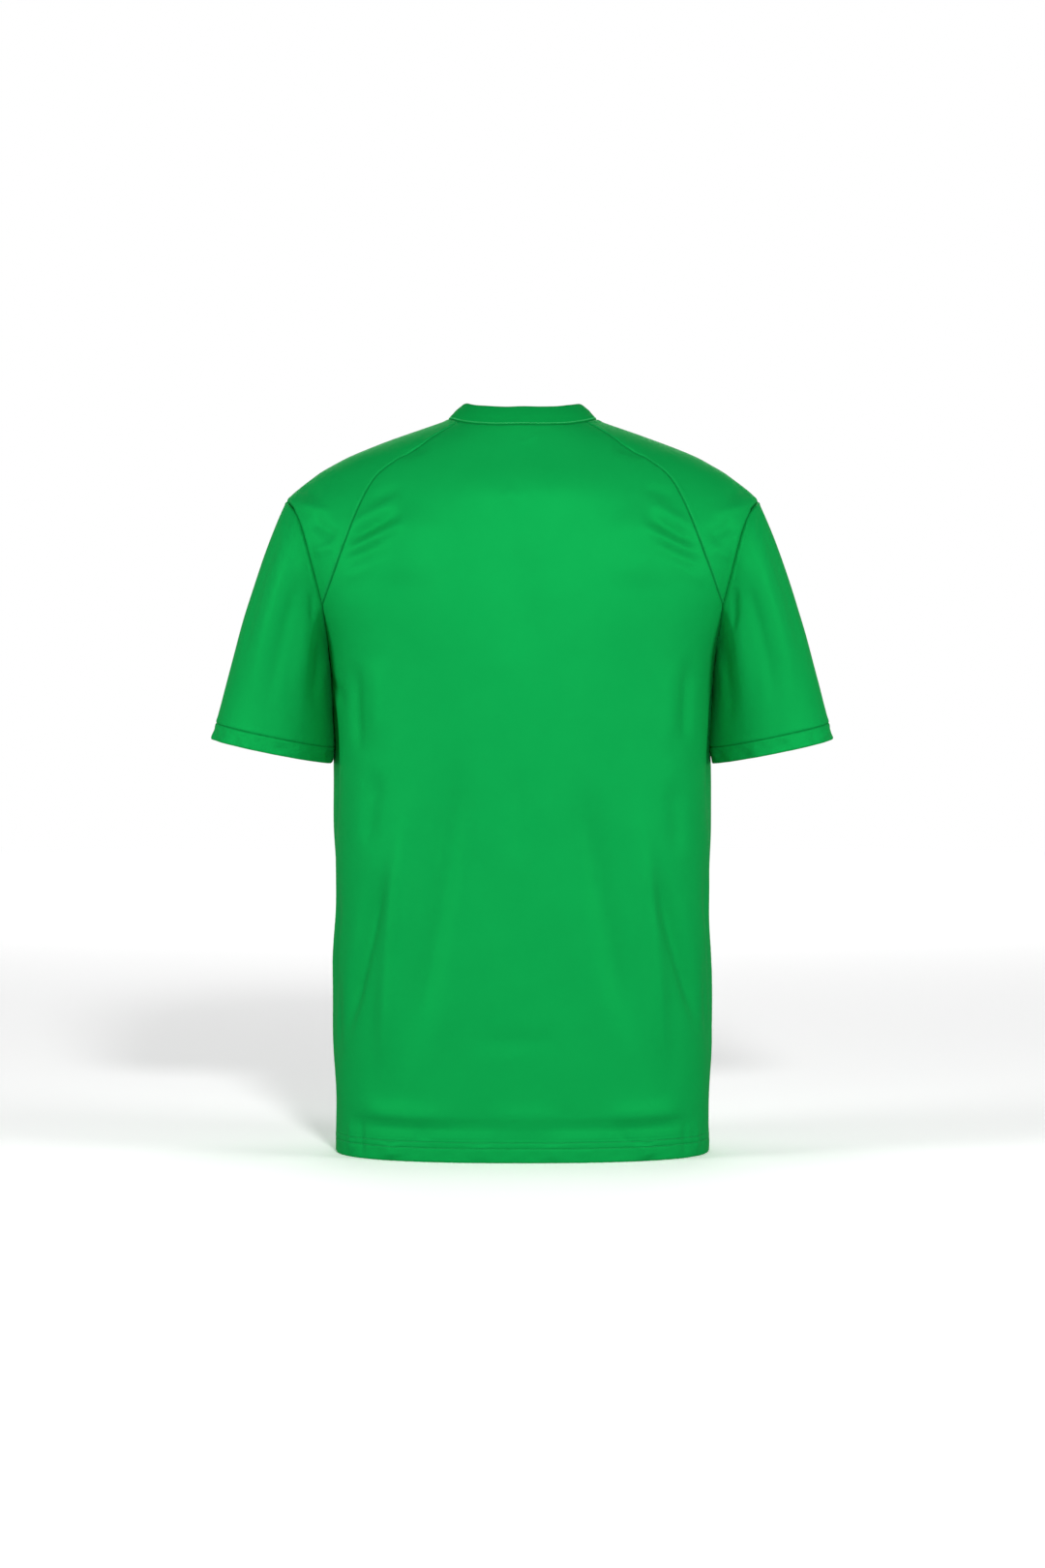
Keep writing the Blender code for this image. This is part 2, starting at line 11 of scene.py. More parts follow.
import bpy
import numpy as np
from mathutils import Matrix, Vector

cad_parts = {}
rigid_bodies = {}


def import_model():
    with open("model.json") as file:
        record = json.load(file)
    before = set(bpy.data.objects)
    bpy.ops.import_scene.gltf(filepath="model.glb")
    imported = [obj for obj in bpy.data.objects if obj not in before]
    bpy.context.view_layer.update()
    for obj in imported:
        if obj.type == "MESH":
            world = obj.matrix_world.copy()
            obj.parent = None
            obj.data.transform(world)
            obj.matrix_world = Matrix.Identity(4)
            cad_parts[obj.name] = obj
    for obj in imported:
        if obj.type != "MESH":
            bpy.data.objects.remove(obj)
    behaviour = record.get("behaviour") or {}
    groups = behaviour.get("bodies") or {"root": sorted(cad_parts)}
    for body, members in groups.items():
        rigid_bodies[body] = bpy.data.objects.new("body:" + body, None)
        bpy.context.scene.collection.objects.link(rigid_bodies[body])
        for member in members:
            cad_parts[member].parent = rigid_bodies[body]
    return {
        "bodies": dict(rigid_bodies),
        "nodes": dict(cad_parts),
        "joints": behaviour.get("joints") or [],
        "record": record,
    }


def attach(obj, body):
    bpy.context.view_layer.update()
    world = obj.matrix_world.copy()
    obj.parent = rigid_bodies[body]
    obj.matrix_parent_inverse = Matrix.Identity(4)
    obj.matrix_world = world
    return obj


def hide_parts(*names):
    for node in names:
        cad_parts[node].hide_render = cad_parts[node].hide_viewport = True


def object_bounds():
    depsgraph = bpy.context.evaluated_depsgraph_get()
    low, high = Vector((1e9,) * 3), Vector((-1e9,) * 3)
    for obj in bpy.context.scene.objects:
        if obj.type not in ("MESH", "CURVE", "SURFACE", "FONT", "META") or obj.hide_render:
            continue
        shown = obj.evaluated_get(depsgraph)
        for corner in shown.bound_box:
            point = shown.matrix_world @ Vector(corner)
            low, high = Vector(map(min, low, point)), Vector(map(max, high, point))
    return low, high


# ------------------------------------------------------------ driving sizes
MM = 0.001
NECK_BASE = 720.0        # height of the back neck seam above the datum
HEM = 12.0               # height of the hem above the datum
CLOTH = 0.9              # thickness of one layer of knit
HEM_TURN = 20.5          # depth of the turned-up hem
HEM_ROWS = (13.6, 19.4)  # the hem's two rows of stitches, above the hem
COLLAR_WIDTH = 22.0
ARMPIT = 492.0
JUNCTION = 545.0         # where a raglan seam meets the armhole
ALLOWANCE = 6.0          # seam allowance inside
FOLD_GAIN = 1.55         # over every height in the fold tables

SECTION_COLUMNS = ("height", "half_width", "back_depth", "front_depth", "squareness")
SECTIONS = (
    (0.0, 181.7, 133.0, 128.0, 2.45),
    (90.0, 181.7, 133.0, 128.0, 2.45),
    (180.0, 181.7, 133.0, 127.5, 2.45),
    (270.0, 181.7, 133.0, 127.0, 2.45),
    (350.0, 181.7, 132.8, 126.6, 2.45),
    (404.0, 181.8, 132.4, 126.0, 2.44),
    (440.0, 182.8, 132.0, 125.5, 2.45),
    (470.0, 184.6, 131.6, 125.0, 2.46),
    (492.0, 187.4, 131.2, 124.3, 2.48),
    (506.0, 190.2, 130.8, 123.6, 2.51),
    (529.0, 197.4, 129.8, 121.8, 2.57),
    (545.0, 204.2, 128.8, 119.8, 2.58),
    (563.0, 212.8, 127.2, 116.8, 2.54),
    (588.0, 224.6, 124.0, 111.3, 2.44),
    (608.0, 231.6, 121.0, 104.8, 2.32),
    (625.0, 234.2, 117.6, 97.2, 2.20),
    (637.0, 232.2, 114.4, 90.6, 2.10),
    (644.0, 229.0, 112.2, 86.3, 2.06),
    (655.0, 218.0, 108.2, 79.4, 2.03),
    (664.0, 206.5, 104.0, 74.2, 2.02),
    (671.4, 196.6, 100.2, 70.1, 2.00),
    (679.6, 182.6, 95.0, 65.2, 2.00),
    (686.0, 171.0, 90.2, 61.4, 2.00),
    (696.5, 145.4, 81.6, 55.0, 2.00),
    (706.3, 118.5, 72.8, 48.8, 1.96),
    (715.6, 92.4, 63.6, 41.6, 1.90),
    (720.0, 80.0, 58.8, 37.2, 1.86),
    (724.0, 71.2, 54.0, 33.0, 1.84),
    (728.0, 63.6, 48.8, 28.8, 1.84),
)

# Seams drawn on the body, as distance from the centre line and height.
BACK_RAGLAN = (
    (79.0, 711.8), (92.0, 703.8), (105.0, 696.0), (118.5, 687.6),
    (131.0, 678.9), (141.0, 669.8), (148.2, 659.6), (154.8, 647.0), (162.2, 630.5),
    (169.6, 611.5), (177.8, 589.0), (185.2, 568.5), (193.6, 545.0),
)
FRONT_RAGLAN = (
    (76.0, 684.0), (91.0, 675.5), (105.0, 666.5), (117.5, 656.5),
    (129.0, 644.5), (139.5, 630.0), (150.0, 612.0), (161.0, 590.5), (173.0, 567.5),
    (191.0, 545.0),
)
BACK_ARMHOLE = (
    (187.4, 492.0), (188.6, 506.0), (191.4, 527.0), (193.6, 545.0), (198.4, 563.5),
    (204.0, 586.0), (209.2, 606.0), (215.0, 624.0), (221.6, 636.0), (226.6, 641.6),
    (229.0, 644.0),
)
FRONT_ARMHOLE = (
    (187.4, 492.0), (188.0, 506.0), (189.4, 527.0), (191.0, 545.0), (195.0, 563.5),
    (200.4, 585.0), (206.4, 605.0), (213.2, 622.5), (220.6, 635.4), (226.2, 641.6),
    (229.0, 644.0),
)
NECK_CENTRE_Y = -13.0
NECK_HALF_WIDTH = 72.3
NECK_HALF_DEPTH = 72.2
NECK_SQUARENESS = 2.22
BACK_RAGLAN_TURN = 26.0
FRONT_RAGLAN_TURN = -41.0
LEAN_COLUMNS = ("direction", "lean")
COLLAR_LEAN = (
    (-90.0, 29.0), (-66.0, 33.0), (-44.0, 39.0), (-20.0, 45.0), (0.0, 47.0),
    (22.0, 42.0), (45.0, 37.5), (68.0, 37.0), (90.0, 37.0),
)
CUFF_SEAM = (241.4, -6.0, 416.6, 58.2, 56.0, 11.8)
CUFF_EDGE = (244.6, -7.0, 401.0, 59.3, 57.0, 11.4)
CAP_COLUMNS = ("turn", "out_x", "out_y", "down", "reach", "landing")
CAP = (
    (0.0, 0.42, 0.00, -0.91, 150.0, 190.0),
    (45.0, 0.62, 0.52, -0.60, 120.0, 190.0),
    (90.0, 0.66, 0.14, -0.74, 110.0, 190.0),
    (135.0, 0.34, 0.10, -0.94, 100.0, 110.0),
    (180.0, 0.09, 0.00, -1.00, 110.0, 60.0),
)

# Folds of the body, each a soft ridge (positive) or trough along a curve
# through three points.  Place is the face they are drawn on: p is x on the
# back and front, and y on the left and right sides.  Skew above 1 makes the
# side away from the centre line softer, below 1 steeper.
FOLD_COLUMNS = ("place", "p0", "h0", "p1", "h1", "p2", "h2", "half_width", "height", "skew")
FOLDS = (
    # by the raglans
    ("back", 172.0, 606.0, 146.0, 620.0, 112.0, 637.0, 5.2, -2.6, 1.0),
    ("back", 173.0, 595.0, 147.0, 608.0, 106.0, 628.0, 5.2, 2.3, 1.0),
    ("back", 176.0, 586.0, 150.0, 597.0, 126.0, 608.0, 6.0, -1.1, 1.0),
    ("back", 178.0, 570.0, 158.0, 579.0, 136.0, 588.0, 7.5, 0.8, 1.0),
    ("back", 166.0, 622.0, 146.0, 634.0, 116.0, 648.0, 5.0, 1.7, 1.0),
    ("back", 152.0, 644.0, 136.0, 651.0, 114.0, 660.0, 5.5, -1.3, 1.0),
    ("back", -171.0, 604.0, -147.0, 616.0, -114.0, 635.0, 5.2, -2.5, 1.0),
    ("back", -173.0, 592.0, -145.0, 605.0, -108.0, 625.0, 5.2, 2.2, 1.0),
    ("back", -177.0, 582.0, -152.0, 594.0, -122.0, 608.0, 6.0, -1.3, 1.0),
    ("back", -178.0, 566.0, -160.0, 578.0, -138.0, 588.0, 7.5, 0.8, 1.0),
    ("back", -164.0, 620.0, -146.0, 631.0, -118.0, 647.0, 5.0, 1.5, 1.0),
    ("back", -151.0, 646.0, -136.0, 653.0, -112.0, 660.0, 5.5, -1.2, 1.0),
    ("back", 122.0, 686.0, 108.0, 693.0, 86.0, 702.0, 7.0, -1.3, 1.0),
    ("back", -120.0, 687.0, -106.0, 694.0, -84.0, 703.0, 7.0, -1.3, 1.0),
    # across the yoke
    ("back", -118.0, 654.0, -4.0, 659.0, 114.0, 655.0, 25.0, 2.6, 1.0),
    ("back", 22.0, 656.0, 10.0, 650.0, 2.0, 641.0, 6.0, 0.7, 1.0),
    ("back", 5.0, 700.0, -7.0, 706.0, -20.0, 712.0, 3.2, 0.6, 1.0),
    ("back", 96.0, 646.0, 112.0, 610.0, 116.0, 560.0, 28.0, 2.3, 1.0),
    ("back", -97.0, 648.0, -113.0, 608.0, -116.0, 556.0, 28.0, 2.3, 1.0),
    ("back", 4.0, 628.0, 2.0, 560.0, -3.0, 486.0, 20.0, -1.3, 1.0),
    # down the sides of the back
    ("back", 159.0, 496.0, 160.0, 448.0, 156.0, 398.0, 8.0, -2.3, 1.2),
    ("back", 138.0, 500.0, 139.0, 452.0, 137.0, 404.0, 11.0, 1.2, 1.0),
    ("back", -160.0, 500.0, -158.0, 455.0, -157.0, 408.0, 8.5, -2.1, 1.2),
    ("back", -139.0, 496.0, -140.0, 446.0, -136.0, 398.0, 11.0, 1.1, 1.0),
    ("back", 138.0, 392.0, 147.0, 344.0, 149.0, 306.0, 12.0, -2.0, 1.0),
    ("back", -142.0, 382.0, -149.0, 338.0, -148.0, 300.0, 12.0, -1.8, 1.0),
    ("back", 131.0, 300.0, 153.0, 205.0, 172.0, 118.0, 9.0, -4.4, 1.5),
    ("back", 104.0, 372.0, 122.0, 262.0, 132.0, 62.0, 13.0, 4.0, 1.0),
    ("back", 60.0, 420.0, 78.0, 272.0, 110.0, 100.0, 14.0, -4.0, 1.0),
    ("back", 34.0, 300.0, 52.0, 210.0, 84.0, 96.0, 18.0, 1.2, 1.0),
    ("back", -124.0, 302.0, -149.0, 214.0, -172.0, 128.0, 9.0, -4.3, 1.5),
    ("back", -100.0, 378.0, -120.0, 268.0, -134.0, 66.0, 13.0, 3.8, 1.0),
    ("back", -56.0, 398.0, -78.0, 262.0, -106.0, 118.0, 14.0, -3.8, 1.0),
    ("back", -30.0, 320.0, -56.0, 216.0, -78.0, 108.0, 18.0, 1.1, 1.0),
    ("back", 6.0, 396.0, 4.0, 352.0, 5.0, 300.0, 8.0, -0.8, 1.0),
    ("back", 40.0, 57.0, 4.0, 56.0, -44.0, 57.0, 9.0, 1.0, 1.0),
    ("back", 60.0, 131.0, 8.0, 129.0, -46.0, 133.0, 9.0, -0.7, 1.0),
    ("back", 176.0, 250.0, 179.0, 180.0, 180.0, 110.0, 9.0, 1.8, 1.0),
    ("back", -176.0, 262.0, -179.0, 192.0, -180.0, 128.0, 9.0, 1.7, 1.0),
    # at the hem of the back
    ("back", 164.0, 60.0, 124.0, 57.0, 62.0, 55.0, 9.5, 2.0, 1.0),
    ("back", -160.0, 60.0, -126.0, 57.0, -70.0, 56.0, 9.5, 1.9, 1.0),
    ("back", 176.0, 48.0, 84.0, 45.0, -12.0, 47.0, 4.6, -1.8, 1.0),
    ("back", -176.0, 49.0, -88.0, 45.0, 10.0, 46.0, 4.6, -1.7, 1.0),
    ("back", 128.0, 32.0, 127.0, 22.0, 125.0, 12.0, 9.0, 1.5, 1.0),
    ("back", 38.0, 33.0, 40.0, 23.0, 41.0, 12.0, 8.0, 0.6, 1.0),
    ("back", -28.0, 33.0, -28.0, 24.0, -30.0, 12.0, 8.0, 0.6, 1.0),
    ("back", -117.0, 33.0, -118.0, 24.0, -121.0, 12.0, 9.0, 1.5, 1.0),
    ("back", 103.0, 42.0, 97.0, 38.0, 90.0, 33.0, 2.6, -0.7, 1.0),
    ("back", 81.0, 47.0, 76.0, 43.0, 70.0, 39.0, 2.6, -0.6, 1.0),
    ("back", -92.0, 40.0, -98.0, 35.0, -103.0, 30.0, 2.6, -0.6, 1.0),
    ("back", 157.0, 54.0, 156.0, 34.0, 154.0, 12.0, 3.4, -1.2, 1.0),
    ("back", 168.0, 50.0, 166.0, 32.0, 167.0, 12.0, 4.6, 1.1, 1.0),
    ("back", -158.0, 50.0, -157.0, 32.0, -158.0, 12.0, 3.6, -1.1, 1.0),
    ("back", -168.0, 47.0, -169.0, 30.0, -167.0, 12.0, 4.6, 1.0, 1.0),
    # shoulder panels, behind
    ("back", 222.0, 662.0, 206.0, 655.0, 190.0, 650.0, 7.5, -1.6, 1.0),
    ("back", 221.0, 643.0, 200.0, 639.0, 178.0, 634.0, 4.5, 1.3, 1.0),
    ("back", 206.0, 629.0, 193.0, 620.0, 176.0, 612.0, 7.0, -1.9, 1.0),
    ("back", 204.0, 595.0, 190.0, 600.0, 176.0, 606.0, 5.0, 1.2, 1.0),
    ("back", -224.0, 659.0, -208.0, 654.0, -192.0, 647.0, 7.5, -1.5, 1.0),
    ("back", -220.0, 641.0, -200.0, 637.0, -176.0, 635.0, 4.5, 1.2, 1.0),
    ("back", -207.0, 626.0, -192.0, 617.0, -175.0, 610.0, 7.0, -1.9, 1.0),
    ("back", -203.0, 591.0, -190.0, 597.0, -177.0, 603.0, 5.0, 1.1, 1.0),
    ("back", 230.0, 646.0, 225.0, 639.0, 219.0, 633.0, 3.2, -1.9, 1.0),
    ("back", -230.0, 646.0, -225.0, 639.0, -219.0, 633.0, 3.2, -1.8, 1.0),
    # the sides, from the armpits down
    ("left", 4.0, 484.0, 22.0, 400.0, 14.0, 300.0, 13.0, -2.6, 1.0),
    ("left", -40.0, 476.0, -22.0, 380.0, -36.0, 262.0, 16.0, 2.4, 1.0),
    ("left", 40.0, 300.0, 30.0, 200.0, 46.0, 92.0, 13.0, -2.4, 1.0),
    ("left", 4.0, 260.0, -8.0, 170.0, 6.0, 60.0, 15.0, 2.2, 1.0),
    ("left", -58.0, 320.0, -46.0, 200.0, -62.0, 96.0, 14.0, -2.6, 1.0),
    ("left", -12.0, 470.0, -50.0, 452.0, -84.0, 440.0, 8.0, -1.8, 1.0),
    ("left", 10.0, 478.0, 42.0, 462.0, 70.0, 456.0, 8.0, -1.5, 1.0),
    ("right", 2.0, 482.0, 18.0, 404.0, 20.0, 316.0, 13.0, -2.5, 1.0),
    ("right", -36.0, 478.0, -26.0, 372.0, -30.0, 250.0, 16.0, 2.2, 1.0),
    ("right", 46.0, 310.0, 34.0, 212.0, 40.0, 104.0, 13.0, -2.3, 1.0),
    ("right", 0.0, 250.0, -4.0, 150.0, 10.0, 54.0, 15.0, 2.0, 1.0),
    ("right", -62.0, 338.0, -52.0, 216.0, -58.0, 110.0, 14.0, -2.4, 1.0),
    ("right", -10.0, 472.0, -46.0, 455.0, -80.0, 446.0, 8.0, -1.7, 1.0),
    ("left", 0.0, 489.0, -6.0, 450.0, -6.0, 404.0, 26.0, 1.3, 1.0),
    ("right", 0.0, 489.0, -6.0, 450.0, -6.0, 404.0, 26.0, 1.3, 1.0),
    # the front
    ("front", 168.0, 604.0, 140.0, 600.0, 104.0, 610.0, 8.0, -2.2, 1.0),
    ("front", 170.0, 580.0, 138.0, 582.0, 96.0, 592.0, 9.0, 1.7, 1.0),
    ("front", 178.0, 560.0, 148.0, 556.0, 108.0, 566.0, 9.0, -1.7, 1.0),
    ("front", -166.0, 600.0, -136.0, 594.0, -100.0, 602.0, 8.0, -2.0, 1.0),
    ("front", -170.0, 576.0, -140.0, 574.0, -102.0, 584.0, 9.0, 1.8, 1.0),
    ("front", -180.0, 552.0, -150.0, 548.0, -112.0, 556.0, 9.0, -1.6, 1.0),
    ("front", 74.0, 622.0, 44.0, 600.0, 8.0, 592.0, 12.0, -1.3, 1.0),
    ("front", -70.0, 618.0, -42.0, 598.0, -8.0, 590.0, 12.0, -1.2, 1.0),
    ("front", 58.0, 560.0, 70.0, 520.0, 74.0, 474.0, 24.0, 1.5, 1.0),
    ("front", -56.0, 556.0, -70.0, 514.0, -72.0, 468.0, 24.0, 1.5, 1.0),
    ("front", 158.0, 486.0, 160.0, 430.0, 154.0, 372.0, 9.0, -2.2, 1.0),
    ("front", -160.0, 490.0, -158.0, 438.0, -156.0, 384.0, 9.0, -2.3, 1.0),
    ("front", 122.0, 330.0, 140.0, 230.0, 164.0, 132.0, 9.0, -3.1, 1.4),
    ("front", 98.0, 380.0, 116.0, 262.0, 132.0, 104.0, 13.0, 2.2, 1.0),
    ("front", 52.0, 400.0, 74.0, 268.0, 102.0, 96.0, 15.0, -2.4, 1.0),
    ("front", 24.0, 330.0, 34.0, 214.0, 58.0, 84.0, 18.0, 1.2, 1.0),
    ("front", -118.0, 316.0, -142.0, 222.0, -166.0, 126.0, 9.0, -3.2, 1.4),
    ("front", -92.0, 390.0, -114.0, 272.0, -134.0, 96.0, 13.0, 2.3, 1.0),
    ("front", -48.0, 380.0, -70.0, 254.0, -104.0, 112.0, 15.0, -2.3, 1.0),
    ("front", -8.0, 240.0, -22.0, 170.0, -44.0, 98.0, 16.0, 1.0, 1.0),
    ("front", 4.0, 460.0, -2.0, 400.0, 2.0, 330.0, 10.0, -0.8, 1.0),
    ("front", 176.0, 47.0, 84.0, 45.0, -12.0, 46.0, 4.6, -1.7, 1.0),
    ("front", -176.0, 47.0, -80.0, 45.0, 12.0, 45.0, 4.6, -1.6, 1.0),
    ("front", 112.0, 33.0, 114.0, 23.0, 113.0, 12.0, 8.5, 0.8, 1.0),
    ("front", 22.0, 33.0, 20.0, 22.0, 18.0, 12.0, 8.0, 0.6, 1.0),
    ("front", -66.0, 33.0, -68.0, 22.0, -70.0, 12.0, 8.5, 0.7, 1.0),
    ("front", -150.0, 48.0, -148.0, 30.0, -150.0, 12.0, 4.0, -1.0, 1.0),
    ("front", 152.0, 46.0, 154.0, 30.0, 152.0, 12.0, 4.0, -1.0, 1.0),
    # shoulder panels, in front
    ("front", 214.0, 640.0, 194.0, 636.0, 170.0, 632.0, 5.0, 1.2, 1.0),
    ("front", 206.0, 622.0, 190.0, 612.0, 168.0, 606.0, 7.0, -1.8, 1.0),
    ("front", -215.0, 637.0, -196.0, 634.0, -172.0, 634.0, 5.0, 1.2, 1.0),
    ("front", -205.0, 618.0, -188.0, 608.0, -170.0, 600.0, 7.0, -1.7, 1.0),
)

# Folds of the sleeves: turn is degrees round the sleeve (0 the outer side, 90
# the back, 180 the inner side, 270 the front), down is the share of its length.
SLEEVE_FOLD_COLUMNS = ("side", "turn0", "down0", "turn1", "down1", "turn2", "down2", "half_width", "height")
SLEEVE_FOLDS = (
    ("both", 84.0, 0.10, 80.0, 0.50, 78.0, 0.96, 9.0, -2.4),
    ("both", 106.0, 0.16, 108.0, 0.45, 102.0, 0.85, 11.0, 1.7),
    ("both", 60.0, 0.05, 56.0, 0.45, 58.0, 0.90, 11.0, 1.6),
    ("both", 34.0, 0.08, 30.0, 0.40, 34.0, 0.78, 9.0, -1.3),
    ("l", 136.0, 0.10, 132.0, 0.45, 124.0, 0.80, 8.0, -1.6),
    ("r", 140.0, 0.14, 133.0, 0.50, 128.0, 0.92, 8.0, -1.6),
    ("r", 92.0, 0.08, 102.0, 0.14, 112.0, 0.26, 7.5, -2.2),
    ("l", 96.0, 0.07, 104.0, 0.12, 112.0, 0.20, 6.5, -1.2),
    ("both", 158.0, 0.06, 150.0, 0.30, 140.0, 0.62, 7.0, 1.2),
    ("both", 4.0, 0.05, 2.0, 0.35, 6.0, 0.95, 12.0, 0.9),
    ("l", 18.0, 0.02, 30.0, 0.10, 52.0, 0.16, 6.0, -1.0),
    ("r", 16.0, 0.03, 32.0, 0.11, 50.0, 0.15, 6.0, -1.1),
    ("both", 276.0, 0.10, 282.0, 0.50, 280.0, 0.94, 10.0, -2.2),
    ("both", 252.0, 0.12, 254.0, 0.45, 258.0, 0.88, 11.0, 1.7),
    ("both", 306.0, 0.05, 308.0, 0.40, 304.0, 0.86, 11.0, 1.5),
    ("both", 224.0, 0.10, 230.0, 0.40, 236.0, 0.80, 8.0, -1.6),
    ("both", 332.0, 0.06, 334.0, 0.40, 330.0, 0.80, 9.0, -1.2),
    ("both", 204.0, 0.06, 210.0, 0.30, 218.0, 0.60, 7.0, 1.1),
)

# How far a sleeve's inner side is moved towards the body near its cuff.
AGAINST = {"l": 1.5, "r": 2.7}

# Cells along each edge.
ROWS_HEM, ROWS_SIDE, ROWS_UNDER, ROWS_RAGLAN = 34, 84, 12, 72
COLS_PANEL = 150
COLS_SHOULDER = 96
COLS_AROUND_UNDER = 30
ROWS_SLEEVE = 104
ROWS_CUFF = 22
ROWS_COLLAR = 26

GREEN = (0.0030, 0.335, 0.0640)
GREEN_LIGHT = (0.0052, 0.366, 0.0728)
RIB_GREEN = (0.0025, 0.262, 0.0480)
THREAD = (0.0200, 0.480, 0.1300)
PALE_THREAD = (0.0600, 0.620, 0.1900)


# ------------------------------------------------------------------ curves
def smooth(xs, ys, x):
    """Akima's curve through a table's column, which doesn't overshoot."""
    xs, ys = np.asarray(xs, float), np.asarray(ys, float)
    slope = np.diff(ys) / np.diff(xs)
    first, last = 2 * slope[0] - slope[1], 2 * slope[-1] - slope[-2]
    slope = np.concatenate([[2 * first - slope[0], first], slope, [last, 2 * last - slope[-1]]])
    left = np.abs(slope[3:] - slope[2:-1])
    right = np.abs(slope[1:-2] - slope[:-3])
    both = left + right
    tangent = np.where(
        both > 1e-9,
        (left * slope[1:-2] + right * slope[2:-1]) / np.maximum(both, 1e-9),
        0.5 * (slope[1:-2] + slope[2:-1]),
    )
    x = np.clip(np.asarray(x, float), xs[0], xs[-1])
    i = np.clip(np.searchsorted(xs, x, side="right") - 1, 0, len(xs) - 2)
    w = xs[i + 1] - xs[i]
    s = (x - xs[i]) / w
    return (
        ys[i] * (1 + 2 * s) * (1 - s) ** 2
        + tangent[i] * w * s * (1 - s) ** 2
        + ys[i + 1] * s * s * (3 - 2 * s)
        + tangent[i + 1] * w * s * s * (s - 1)
    )


def column(table, columns, name):
    return np.array([row[columns.index(name)] for row in table], float)


HEIGHTS = column(SECTIONS, SECTION_COLUMNS, "height")


def section(h, name):
    return smooth(HEIGHTS, column(SECTIONS, SECTION_COLUMNS, name), h)


def lengths(points):
    """Running length along a line of points."""
    return np.concatenate([[0], np.cumsum(np.linalg.norm(np.diff(points, axis=0), axis=1))])


def spread(count, fine_start=0.0, fine_end=0.0, first=0.6):
    """count + 1 places from 0 to 1.  The cells by a fine end grow out from first/fine."""
    steps = np.ones(count)
    for fine, flip in ((fine_start, False), (fine_end, True)):
        if not fine:
            continue
        grow = np.minimum(first / fine * 1.32 ** np.arange(count) * count, 1.0)
        steps = np.minimum(steps, grow[::-1] if flip else grow)
    run = np.concatenate([[0], np.cumsum(steps)])
    return run / run[-1]


def smooth_path(points, places, measure):
    """Points at places (0 to 1 of the length) along the curve through a table."""
    points = np.asarray(points, float)
    knots = lengths(points)
    fine = np.linspace(0, knots[-1], 1500)
    path = np.stack([smooth(knots, points[:, k], fine) for k in range(points.shape[1])], 1)
    run = lengths(measure(path))
    at = np.asarray(places) * run[-1]
    return np.stack([np.interp(at, run, path[:, k]) for k in range(points.shape[1])], 1)


def bell(x, half_width):
    return np.exp(-((x / half_width) ** 2))


def step(x, start, end):
    s = np.clip((x - start) / (end - start), 0, 1)
    return s * s * (3 - 2 * s)


# ------------------------------------------------------------- body surface
def body(direction, h):
    """The point of the body's smooth surface in a direction round the axis, at a height."""
    w, n = section(h, "half_width"), section(h, "squareness")
    d = np.where(np.sin(direction) >= 0, section(h, "back_depth"), section(h, "front_depth"))
    c, s = np.cos(direction), np.sin(direction)
    r = (np.abs(c / w) ** n + np.abs(s / d) ** n) ** (-1 / n)
    return np.stack([r * c, r * s, np.broadcast_to(h, r.shape)], -1)


def body_normal(direction, h):
    a = body(direction + 1e-3, h) - body(direction - 1e-3, h)
    b = body(direction, h + 0.4) - body(direction, h - 0.4)
    normal = np.cross(a, b)
    return normal / np.linalg.norm(normal, axis=-1, keepdims=True)


def direction_at(x, h, back):
    w, n = section(h, "half_width"), section(h, "squareness")
    d = section(h, "back_depth" if back else "front_depth")
    y = d * np.maximum(1 - np.clip(np.abs(x) / w, 0, 1) ** n, 0) ** (1 / n)
    return np.arctan2(y if back else -y, x)


def direction_at_side(y, h, left):
    w, n = section(h, "half_width"), section(h, "squareness")
    d = np.where(y >= 0, section(h, "back_depth"), section(h, "front_depth"))
    x = w * np.maximum(1 - np.clip(np.abs(y) / d, 0, 1) ** n, 0) ** (1 / n)
    return np.arctan2(y, x if left else -x)


def drawn(points, back):
    points = np.asarray(points, float)
    run = np.arange(len(points), dtype=float)
    fine = np.linspace(0, len(points) - 1, 3 * (len(points) - 1) + 1)
    x, h = smooth(run, points[:, 0], fine), smooth(run, points[:, 1], fine)
    return np.stack([direction_at(x, h, back), h], 1)


def on_body(path):
    return body(path[:, 0], path[:, 1])


def neck_point(turn):
    """The neck seam at a turn in degrees: its direction round the axis and its height."""
    around = np.linspace(-math.pi / 2, math.pi / 2, 721)
    c, s = np.cos(around), np.sin(around)
    r = (np.abs(c / NECK_HALF_WIDTH) ** NECK_SQUARENESS
         + np.abs(s / NECK_HALF_DEPTH) ** NECK_SQUARENESS) ** (-1 / NECK_SQUARENESS)
    x, y = r * c, NECK_CENTRE_Y + r * s
    direction = np.radians(np.atleast_1d(np.asarray(turn, float)))
    reach = np.interp(direction, np.arctan2(y, x), np.hypot(x, y))
    levels = np.linspace(HEIGHTS[-1], 600.0, 1600)
    ring = body(direction[:, None] + 0 * levels[None], levels[None] + 0 * direction[:, None])
    far = np.hypot(ring[..., 0], ring[..., 1])
    found = [np.interp(wanted, row, levels) for wanted, row in zip(reach, far)]
    return np.stack([direction, np.array(found)], 1)


# ------------------------------------------------- the body's cloth unrolled
TURNS = np.radians(np.linspace(-90, 90, 181))
LEVELS = np.linspace(HEM - 6, 728, 241)


def unrolling():
    ring = body(TURNS[None, :] + 0 * LEVELS[:, None], LEVELS[:, None] + 0 * TURNS[None, :])
    step_round = np.linalg.norm(np.diff(ring, axis=1), axis=2)
    arc = np.concatenate([np.zeros((len(LEVELS), 1)), np.cumsum(step_round, axis=1)], 1)
    up = {}
    for name, j in (("front", 0), ("side", 90), ("back", 180)):
        up[name] = lengths(ring[:, j])
    return arc, up


ARC, UP = unrolling()


